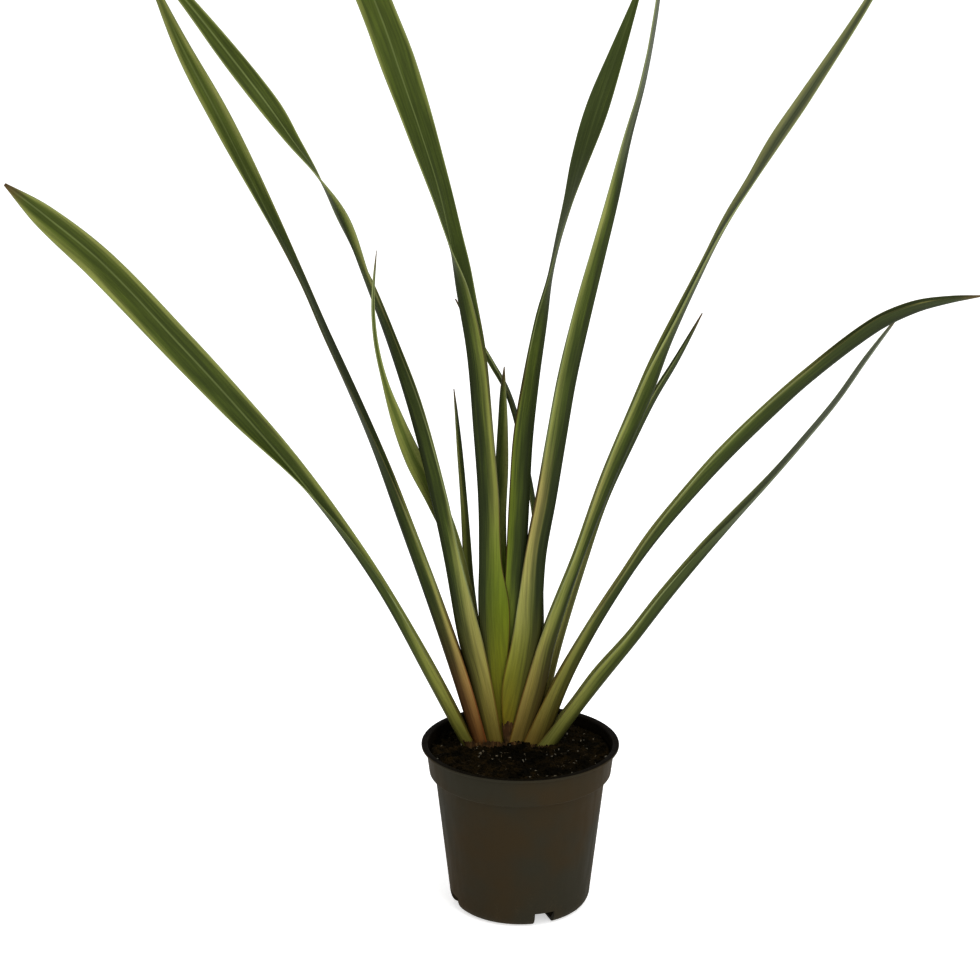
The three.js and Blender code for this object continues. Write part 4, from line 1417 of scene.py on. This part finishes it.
def old_base(base, seed, points, faces):
    """A thin curved scrap of a leaf base with a torn top."""
    dice = random.Random(seed)
    across = SCRAP_ACROSS
    up = SCRAP_UP
    start = len(points)
    torn = [dice.uniform(TORN_LOW, TORN_HIGH) for _ in range(across + 1)]
    for layer in (0, 1):
        for j in range(up + 1):
            for i in range(across + 1):
                points.append(scrap_point(base, seed, torn[i], layer, i / across, j / up))
    row = across + 1
    sheet = row * (up + 1)

    def at(layer, j, i):
        return start + layer * sheet + j * row + i

    for j in range(up):
        for i in range(across):
            faces.append((at(0, j, i), at(0, j, i + 1), at(0, j + 1, i + 1), at(0, j + 1, i)))
            faces.append((at(1, j, i), at(1, j + 1, i), at(1, j + 1, i + 1), at(1, j, i + 1)))
    for j in range(up):
        faces.append((at(0, j, 0), at(0, j + 1, 0), at(1, j + 1, 0), at(1, j, 0)))
        faces.append((at(0, j, across), at(1, j, across), at(1, j + 1, across), at(0, j + 1, across)))
    for i in range(across):
        faces.append((at(0, 0, i), at(1, 0, i), at(1, 0, i + 1), at(0, 0, i + 1)))
        faces.append((at(0, up, i), at(0, up, i + 1), at(1, up, i + 1), at(1, up, i)))


def make_crown(material):
    """The woody stem in the soil with the remains of its old leaf bases."""
    points = []
    faces = []
    for hole in HOLES:
        crown_block(hole, points, faces)
    for seed, base in enumerate(OLD_BASES):
        old_base(base, seed, points, faces)
    piece = mesh_piece("woody_crown", points, faces, material)
    sharpen(piece, CROWN_CREASE_ANGLE)
    stand_for(piece, "crown")


# Studio

def make_floor():
    """A plain pale floor."""
    material, tree, shader = new_material("studio_floor")
    soft = mottle(tree, own_place(tree), scale=0.8, detail=1.0, rough=0.5)
    feed(tree, shader.inputs["Base Color"], tint(tree, soft, STUDIO_PALE, STUDIO_WHITE))
    shader.inputs["Roughness"].default_value = 0.9
    shader.inputs["Specular IOR Level"].default_value = 0.1
    shader.inputs["Emission Color"].default_value = (1.0, 1.0, 1.0, 1.0)
    shader.inputs["Emission Strength"].default_value = 0.6
    reach = STUDIO_REACH
    corners = [(-reach, -reach, 0), (reach, -reach, 0), (reach, reach, 0), (-reach, reach, 0)]
    floor = mesh_piece("studio_floor", corners, [(0, 1, 2, 3)], material)


def area_light(name, place, target, size, power):
    """A large soft lamp, its place, target and breadth in metres."""
    lamp = bpy.data.lights.new(name, "AREA")
    lamp.shape = "DISK"
    lamp.size = size
    lamp.energy = power
    item = bpy.data.objects.new(name, lamp)
    item.location = place
    item.rotation_euler = (Vector(target) - Vector(place)).to_track_quat("-Z", "Y").to_euler()
    bpy.context.scene.collection.objects.link(item)


def make_light():
    """Soft pale light from all round, and two large soft lamps."""
    world = bpy.data.worlds.new("studio")
    world.use_nodes = True
    sky = world.node_tree.nodes["Background"]
    sky.inputs["Color"].default_value = (1.0, 1.0, 1.0, 1.0)
    sky.inputs["Strength"].default_value = 0.7
    bpy.context.scene.world = world
    area_light("lamp_above", place=(0.5, -0.6, 1.9), target=(0, 0, 0.2), size=1.2, power=10)
    area_light("lamp_front", place=(0.9, -1.5, 1.3), target=(0, 0, 0.3), size=1.0, power=8)
    view = bpy.context.scene.view_settings
    view.view_transform = "Standard"
    view.look = "None"
    view.exposure = 0.0
    view.gamma = 0.78


def make_camera():
    """The photograph's view: from the front, just above the leaves, and looking down a little."""
    camera = bpy.data.cameras.new("camera")
    camera.lens = CAMERA_LENS
    camera.sensor_width = CAMERA_SENSOR
    camera.clip_start = 0.05
    camera.clip_end = 100
    item = bpy.data.objects.new("camera", camera)
    item.location = CAMERA_PLACE
    item.rotation_euler = (math.radians(90 - CAMERA_DIP), 0, 0)
    bpy.context.scene.collection.objects.link(item)
    bpy.context.scene.camera = item


make_camera()
make_light()
make_floor()
leaf_material = leaf_blade_material()
for lot, leaf in enumerate(LEAVES):
    make_leaf(leaf, lot, leaf_material)
make_pot(pot_plastic_material())
peat = soil_material()
make_soil(peat)
make_soil_litter(peat, perlite_material(), dead_sheath_material("loose_fibre", FIBRE_BROWN, FIBRE_GREY))
make_crown(dead_sheath_material("old_leaf_base", DEAD_BROWN, DEAD_PALE))
